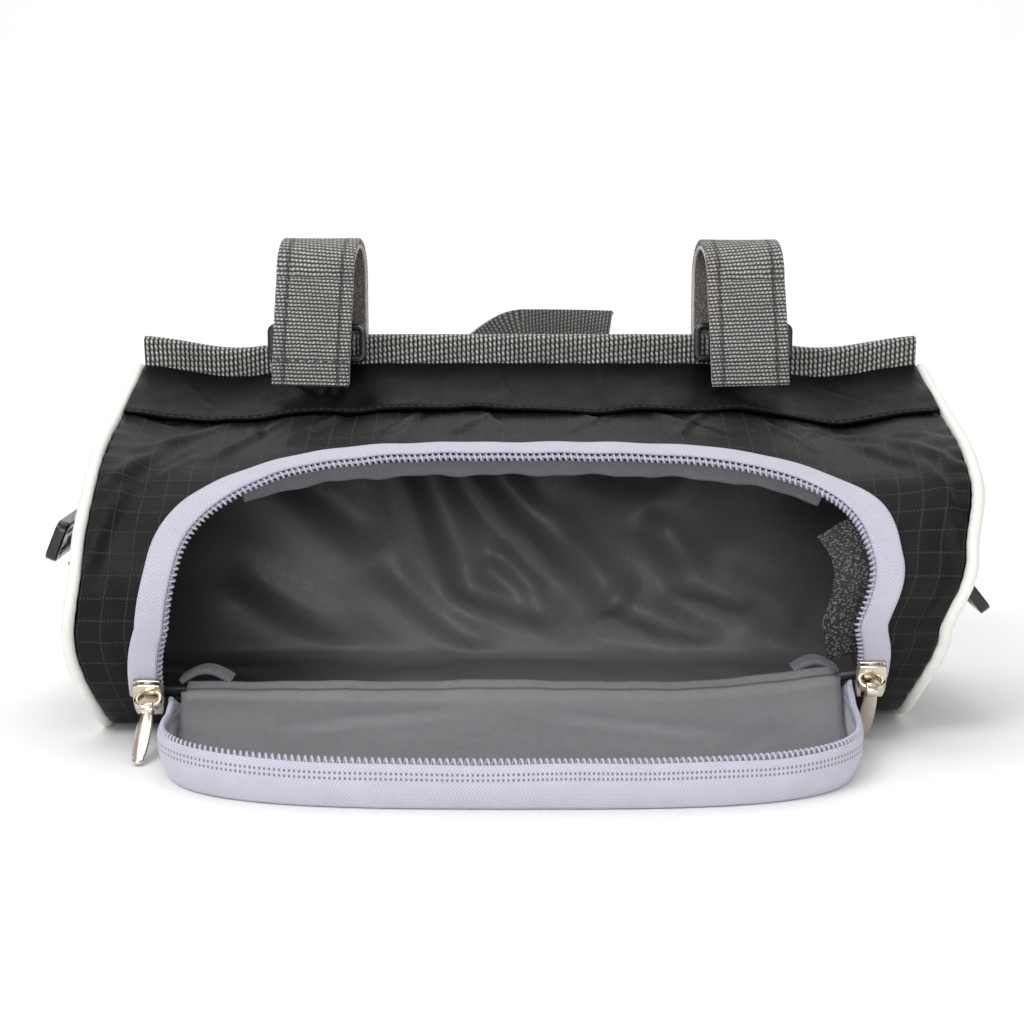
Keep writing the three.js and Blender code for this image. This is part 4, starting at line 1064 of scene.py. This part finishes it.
def strapLine(x, inward):
    # up the back panel, over the handlebar's place and down to a free end on the band
    lift = 0.9 + webThick + linerThick
    s = np.linspace(backLength - rimHeight - barStrap["foot"], backLength - 1, 40)
    root = backSkin(np.full_like(s, x), s, lift)
    last = root[-1]
    end = skin(np.array(x), np.array(barStrap["endAt"]), band["thick"] + 1.2 + linerThick + 0.9)
    a = np.linspace(0, pi, 60)
    arc = np.stack([np.full_like(a, x), last[1] - barStrap["arch"] + barStrap["arch"] * np.cos(a),
                    last[2] + barStrap["archUp"] + barStrap["arch"] * np.sin(a)], -1)
    t = np.linspace(0, 1, 50)[1:, None]
    slack = barStrap["slack"] * np.sin(pi * t) * [0, -1, 0]
    line = np.vstack([root, arc, arc[-1] + (end - arc[-1]) * t + slack])
    depth = np.clip((line[:, 1] - end[1]) / (last[1] - end[1]), 0, 1)
    line[:, 0] = x + inward * barStrap["shift"] * depth
    turn = inward * barStrap["turn"] * np.sin(pi * depth)
    across = unit(np.stack([np.ones(len(line)), turn, np.zeros(len(line))], -1))
    fine = evenly(np.hstack([line, across]), 220)
    return fine[:, :3], fine[:, 3:]


def shortStitches(places, along, up, pitch, size):
    # one bead every pitch along a line of points, with the directions along and up there
    n = max(int(lengthOf(places) / pitch), 2)
    packed = evenly(np.hstack([places, along, up]), n)
    return beads(packed[:, :3], unit(packed[:, 3:6]), unit(packed[:, 6:9]), size, 4, 6)


def held(direction, count):
    # the same direction at every point of a line
    return np.repeat(direction[None], count, 0)


for x, inward, name in strapPlaces:
    line, across = strapLine(x, inward)
    strap = bandPiece(line, across, **strapBand)
    addMesh(f"bar_strap_{name}", strap, [f"strap_{name}"], strapWebbing)
    liner = bandPiece(line[:-2], across[:-2], **strapLiner)
    addMesh(f"hook_liner_{name}", liner, [f"strap_liner_{name}"], hookCloth)
    # beige selvedge of the liner on both edges, and stitches near the free end
    t, side, up = frames(line, across)
    middle, one, two = line[:-2], side[:-2], up[:-2]
    outer = strapWidth / 2 - strapEdge["inset"]
    edge = roundedBox(*strapEdge["box"])[::-1]
    edges = [sweep(middle + one * k * outer - two * strapEdge["drop"], one, two, edge) for k in (-1, 1)]
    addMesh(f"selvedge_{name}", joinParts(edges), [], edgeCloth)
    proud = strapThick + strapStitch["proud"]
    pick = slice(len(line) - strapStitch["from"], len(line) - strapStitch["to"])
    both = -strapStitch["rows"], strapStitch["rows"]
    rows = [line[pick] + side[pick] * k * strapWidth + up[pick] * proud for k in both]
    rows = [shortStitches(row, t[pick], up[pick], **rowStitch) for row in rows]
    i = len(line) - strapStitch["crossAt"]
    w = np.linspace(-strapStitch["cross"], strapStitch["cross"], 30)[:, None]
    cross = line[i] + side[i] * w * strapWidth + up[i] * proud
    rows.append(shortStitches(cross, held(side[i], 30), held(up[i], 30), **crossStitch))
    addMesh(f"strap_stitches_{name}", joinParts(rows), [], threadDark)


def ringPiece(centre, first, second, box, bars=()):
    # a rectangular ring with round corners: centre + flat x * first + flat y * second, bars lie along second
    third = np.cross(first, second)
    width, height, wall, thick = box
    flat = roundedBox(width - wall, height - wall, 1.6, 24)
    flat = evenly(np.vstack([flat, flat[:1]]), 240)[:-1]
    line = centre + flat[:, :1] * first + flat[:, 1:] * second
    _, side, up = frames(line, third, True)
    parts = [sweep(line, side, up, roundedBox(thick, wall, 0.55, 3), closed=True)]
    for place in bars:
        run = np.linspace(-0.5, 0.5, 20)[:, None]
        bar = centre + second * run * (height - wall) + first * place
        _, side, up = frames(bar, third)
        parts.append(sweep(bar, side, up, roundedBox(thick * 0.8, wall * 0.8, 0.5, 3)))
    return joinParts(parts)


xWay, yWay, zWay = np.eye(3)
strapRing = {"box": (32.8, 13.0, 2.4, 2.4), "halfHeight": 6.5, "halfThick": 1.2, "gap": 1.3, "footLift": 1.8}


def ringCentre(x):
    # in front of the rim webbing: half its thickness and a gap away, half its height and a gap up
    footZ = float(skin(np.array(x), np.array(0.0), strapRing["footLift"])[2])
    rimY = float(backSkin(np.array(x), np.array(backLength - rimHeight), -clothThick - webThick - 0.6)[1])
    gap = strapRing["gap"]
    return np.array([x, rimY - strapRing["halfThick"] - gap, footZ + strapRing["halfHeight"] + gap])


for x, _, name in strapPlaces:
    ring = ringPiece(ringCentre(x), xWay, zWay, strapRing["box"])
    addMesh(f"strap_ring_{name}", ring, [f"ring_{name}"], blackPlastic)

# stem strap: a low arch behind the rim with its hook face forwards
stem = {"left": -24, "run": 53, "back": 11, "rise": 12, "width": 20, "thick": 1.6, "edgeAt": 9.7}
sewn = backSkin(np.array(0.0), np.array(backLength - 13.0), 0.6 + webThick + stem["thick"])
t = np.linspace(0, 1, 90)
line = np.stack([stem["left"] + stem["run"] * t, sewn[1] + stem["back"] * np.sin(pi * 0.8 * t),
                 sewn[2] + stem["rise"] * smooth(t * 2.2)], -1)
lean = 0.1 + 0.35 * t
across = np.stack([0 * t, np.sin(lean), np.cos(lean)], -1)
stemPart = bandPiece(line, across, stem["width"], 0, stem["thick"])
addMesh("stem_webbing", stemPart, ["stem_strap"], webbing)
_, side, up = frames(line, across)
stemEdge = sweep(line + side * stem["edgeAt"] - up * 0.5, side, up, roundedBox(1.1, 1.2, 0.4)[::-1])
addMesh("stem_edge", stemEdge, [], edgeCloth)
print("straps made")


# end hardware

def endWall(side):
    # how far out the end panel stands at a height, over the middle 25 mm: the largest x nearby, and a gap
    spot, swell = endRim(side, np.linspace(1, 0, 60))
    spot[..., 0] += side * swell
    spot = spot.reshape(-1, 3)
    spot = spot[np.abs(spot[:, 1]) < 12.5]
    return lambda z: max(side * spot[np.abs(spot[:, 2] - z) < 1.5, 0]) + 0.6


# rows are (height over the adjuster, share of its stand) of each tab's line
endTab = {"upper": [(16.5, 0), (9.5, 0.2), (-3.5, 0.42)], "lower": [(-5.5, 0.8), (-14.5, 0.4), (-22.5, 0)]}
adjuster = {"box": (13.0, 31.2, 2.6, 3.6), "half": 6.5, "bar": 1.6, "halfThick": 1.8, "gap": 0.6}
tabThick = 1.6

for side, name, height, stand in ((-1, "left", 54.0, 9.0), (1, "right", 37.0, 5.0)):
    wallAt = endWall(side)
    for part, rows in endTab.items():
        flat = roundLine([(side * (wallAt(height + z) + stand * off), height + z) for z, off in rows], 40)
        line = np.stack([flat[:, 0], np.zeros(40), flat[:, 1]], -1)
        tab = bandPiece(line, (0, side, 0), strapWidth, 0, tabThick)
        addMesh(f"end_tab_{part}_{name}", tab, [f"tab_{part}_{name}"], webbing)
    half = adjuster["half"]
    lean = np.arctan2(wallAt(height + half) - wallAt(height - half) + stand * 0.6, 2 * half)
    reach = wallAt(height) + stand * 0.8 + tabThick + adjuster["halfThick"] + adjuster["gap"]
    centre, first = np.array([side * reach, 0, height + 1]), np.array([side * np.sin(-lean), 0, np.cos(lean)])
    lock = ringPiece(centre, first, yWay, adjuster["box"], (adjuster["bar"],))
    addMesh(f"adjuster_{name}", lock, [f"ladder_lock_{name}"], blackPlastic)

# sliders and pull tabs

slider = {"width": 9.0, "half": 5.5, "plate": 1.1, "apart": 1.05, "stand": 1.6, "throat": (3.0, 2.2),
          "loopHalf": 3.5, "loopFoot": 1.0, "loopRise": 4.0, "pivot": 1.6 + 3.4}
pull = {"half": 4.6, "long": 19.0, "from": 2.0, "thick": 1.4, "widest": 2.5, "eye": 1.55, "eyeDown": 0.4}


def sliderPiece(seat, up, out):
    # two plates joined by a throat, then a bridge loop, all rounded
    plateLine = np.stack([seat + up * y for y in np.linspace(-slider["half"], slider["half"], 24)])
    taper = 1 - 0.16 * np.abs(np.linspace(-1, 1, 24)) ** 3
    plate = roundedBox(slider["width"], slider["plate"], 0.5)[::-1][None]
    plate = plate * np.stack([taper, np.ones(24)], -1)[:, None]
    parts = [sweep(plateLine + out * k, held(xWay, 24), held(out, 24), plate)
             for k in (-slider["apart"], slider["apart"])]
    throat = np.stack([seat + up * y for y in np.linspace(1.5, 5.0, 8)])
    parts.append(sweep(throat, held(xWay, 8), held(out, 8), roundedBox(*slider["throat"], 0.6)[::-1]))
    a = np.linspace(0, pi, 40)[:, None]
    loop = (seat + xWay * np.cos(a) * slider["loopHalf"]
            + out * (slider["loopFoot"] + slider["loopRise"] * np.sin(a) ** 0.6))
    _, one, two = frames(loop, up)
    return joinParts(parts + [sweep(loop, one, two, roundedBox(2.2, 1.3, 0.55))])


def pullPiece(pivot, rest):
    # a flat tab that widens to its middle and narrows at its tip, with a round eye on the pivot
    angle = np.radians(rest)
    down = np.array([0, -np.cos(angle), -np.sin(angle)])
    face = np.cross(xWay, down)
    t = np.linspace(0, 1, 60)
    bulgeShare = 0.72 + 0.28 * np.sin(pi * np.clip(t * 1.15, 0, 1)) ** 0.5
    width = pull["half"] * bulgeShare * np.sqrt(np.clip((1 - t) / 0.05, 0.15, 1))
    section = roundedBox(1.0, pull["thick"], 0.45)[::-1][None] * np.stack([width, np.ones(60)], -1)[:, None]
    section[..., 0] = np.clip(section[..., 0], -pull["widest"], pull["widest"])
    line = pivot + down * (pull["from"] + pull["long"] * t[:, None])
    tab = sweep(line, held(xWay, 60), held(face, 60), section)
    a = np.linspace(0, 2 * pi, 49)[:-1, None]
    eye = pivot + down * (pull["eye"] * np.cos(a) + pull["eyeDown"]) + face * pull["eye"] * np.sin(a)
    _, one, two = frames(eye, xWay, True)
    return joinParts([tab, sweep(eye, one, two, roundedBox(3.6, 1.0, 0.4), closed=True)])


for side, name, rest in ((-1, "left", 34.0), (1, "right", 125.0)):
    place = np.array(side * (openingHalf + openingFlare)), np.array(hingeAt - 1.2 - 3.5)
    out = unit(plainSkin(*place, 10.0) - plainSkin(*place, 0.0))
    seat = plainSkin(*place, 1.1 + 0.8 + 0.6) + out * slider["stand"]
    body, tab = sliderPiece(seat, np.cross(out, xWay), out), pullPiece(seat + out * slider["pivot"], rest)
    addMesh(f"zip_slider_{name}", body, [f"slider_{name}"], plating)
    addMesh(f"pull_tab_{name}", tab, [f"pull_{name}"], plating, body=f"pull_{name}")

# bound seam ends inside, beside the hinge
seamTab = {"width": 8.0, "low": 0, "high": 1.8, "radius": 0.7}
for side, name, drop in ((-1, "left", 0.5), (1, "right", 1.4)):
    place = np.array(side * (openingHalf - 3.0)), np.array(hingeAt - 2.0)
    start = plainSkin(*place, -clothThick - liningGap - liningThick - drop)
    t = np.linspace(0, 1, 40)[:, None]
    line = start + np.hstack([-side * 14 * t, 4 + 0 * t, 3 * np.sin(pi * t)])
    seam = bandPiece(line, (0, 1, 0), **seamTab)
    addMesh(f"bound_seam_{name}", seam, [f"seam_tab_{name}"], grayBinding)

# hem stitches on the band, and stitches along the rim's foot
hemStitch = {"pitch": 2.6, "size": (1.9, 0.4, 0.35)}
hemLift = 1.55
x = np.linspace(-endX + 2, endX - 2, 500)
hem = np.full_like(x, hemAt + 1.5)
p = bandSurface(x, hem, hemLift)
t = frames(p, bandSurface(x, hem + 1, hemLift) - p)[0]
up = unit(bandSurface(x, hem, hemLift + 1) - p)
addMesh("hem_stitches", shortStitches(p, t, up, **hemStitch), [], threadDark)

rimStitch = {"pitch": 2.9, "size": (2.1, 1.5, 1.3)}
x = np.linspace(-endX + 1, endX - 1, 700)
foot, lift = np.full_like(x, rimFoot + 0.3), -rimFront - webThick
p = backSkin(x, foot, lift)
up = unit(backSkin(x, foot, lift - 1.0) - p)
t = unit(np.gradient(p, axis=0))
slant = unit(t + 0.7 * np.cross(t, up))
addMesh("rim_loops", shortStitches(p - zWay * 0.5, slant, up, **rimStitch), [], threadGray)
print("hardware made")

# stage, light and camera

floorLook = newLook("paper", (0.93, 0.93, 0.93), 0.75, Specular_IOR_Level=0.2)
backdrop = {"front": -3000, "bend": 1500, "radius": 900, "top": 3500, "half": 4000.0}
turn = np.linspace(0, 1, 60)[1:] * pi / 2
bend, radius = backdrop["bend"], backdrop["radius"]
floorY = np.r_[np.linspace(backdrop["front"], bend, 20), bend + radius * np.sin(turn), bend + radius]
floorZ = np.r_[np.zeros(20), radius - radius * np.cos(turn), backdrop["top"]]
gx, gy = np.meshgrid([-backdrop["half"], backdrop["half"]], floorY)
grid = np.stack([gx, gy, np.meshgrid([0, 1], floorZ)[1]], -1)
paperPart = grid, gridFaces(*grid.shape[:2]), np.stack([gx, gy], -1)
paper = addMesh("floor", paperPart, None, floorLook, body=None)

world = bpy.data.worlds.new("studio")
world.use_nodes = True
world.node_tree.nodes["Background"].inputs[0].default_value = (1, 1, 1, 1)
world.node_tree.nodes["Background"].inputs[1].default_value = 0.44
bpy.context.scene.world = world


def softbox(name, place, target, size, power):
    # a rectangular lamp that faces its target, size in metres and power in watts
    light = bpy.data.lights.new(name, "AREA")
    light.shape, light.size, light.size_y, light.energy = "RECTANGLE", size[0], size[1], power
    obj = bpy.data.objects.new(name, light)
    obj.location = place
    obj.rotation_euler = (Vector(target) - Vector(place)).to_track_quat("-Z", "Y").to_euler()
    bpy.context.scene.collection.objects.link(obj)


softbox("key", (-0.55, -0.75, 0.95), (0, 0, 0.05), (0.6, 0.6), 7)
softbox("fill", (0.8, -0.7, 0.5), (0, 0, 0.05), (0.5, 0.7), 1)
softbox("top", (0.0, 0.1, 1.2), (0, 0, 0.05), (0.9, 0.6), 3)
softbox("front", (0.0, -1.3, 0.35), (0, 0, 0.05), (0.7, 0.4), 5.5)
softbox("backdrop", (0.0, 1.5, 1.5), (0, 1.5, 0), (4.0, 2.0), 26)

camera = bpy.data.cameras.new("camera")
camera.sensor_width, camera.lens = 36.0, 1895 / 1024 * 36.0
eye = bpy.data.objects.new("camera", camera)
eye.location = (-0.004, -0.5926, 0.1559)
eye.rotation_euler = (Vector((-0.004, 0, 0.062)) - Vector(eye.location)).to_track_quat("-Z", "Y").to_euler()
camera.clip_start, camera.clip_end = 0.01, 20
bpy.context.scene.collection.objects.link(eye)
bpy.context.scene.camera = eye
bpy.context.scene.view_settings.view_transform = "Standard"

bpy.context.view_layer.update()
shown = [o for o in bpy.data.objects if o.type == "MESH" and not o.hide_render]
print("triangles", sum(len(p.vertices) - 2 for o in shown for p in o.data.polygons))
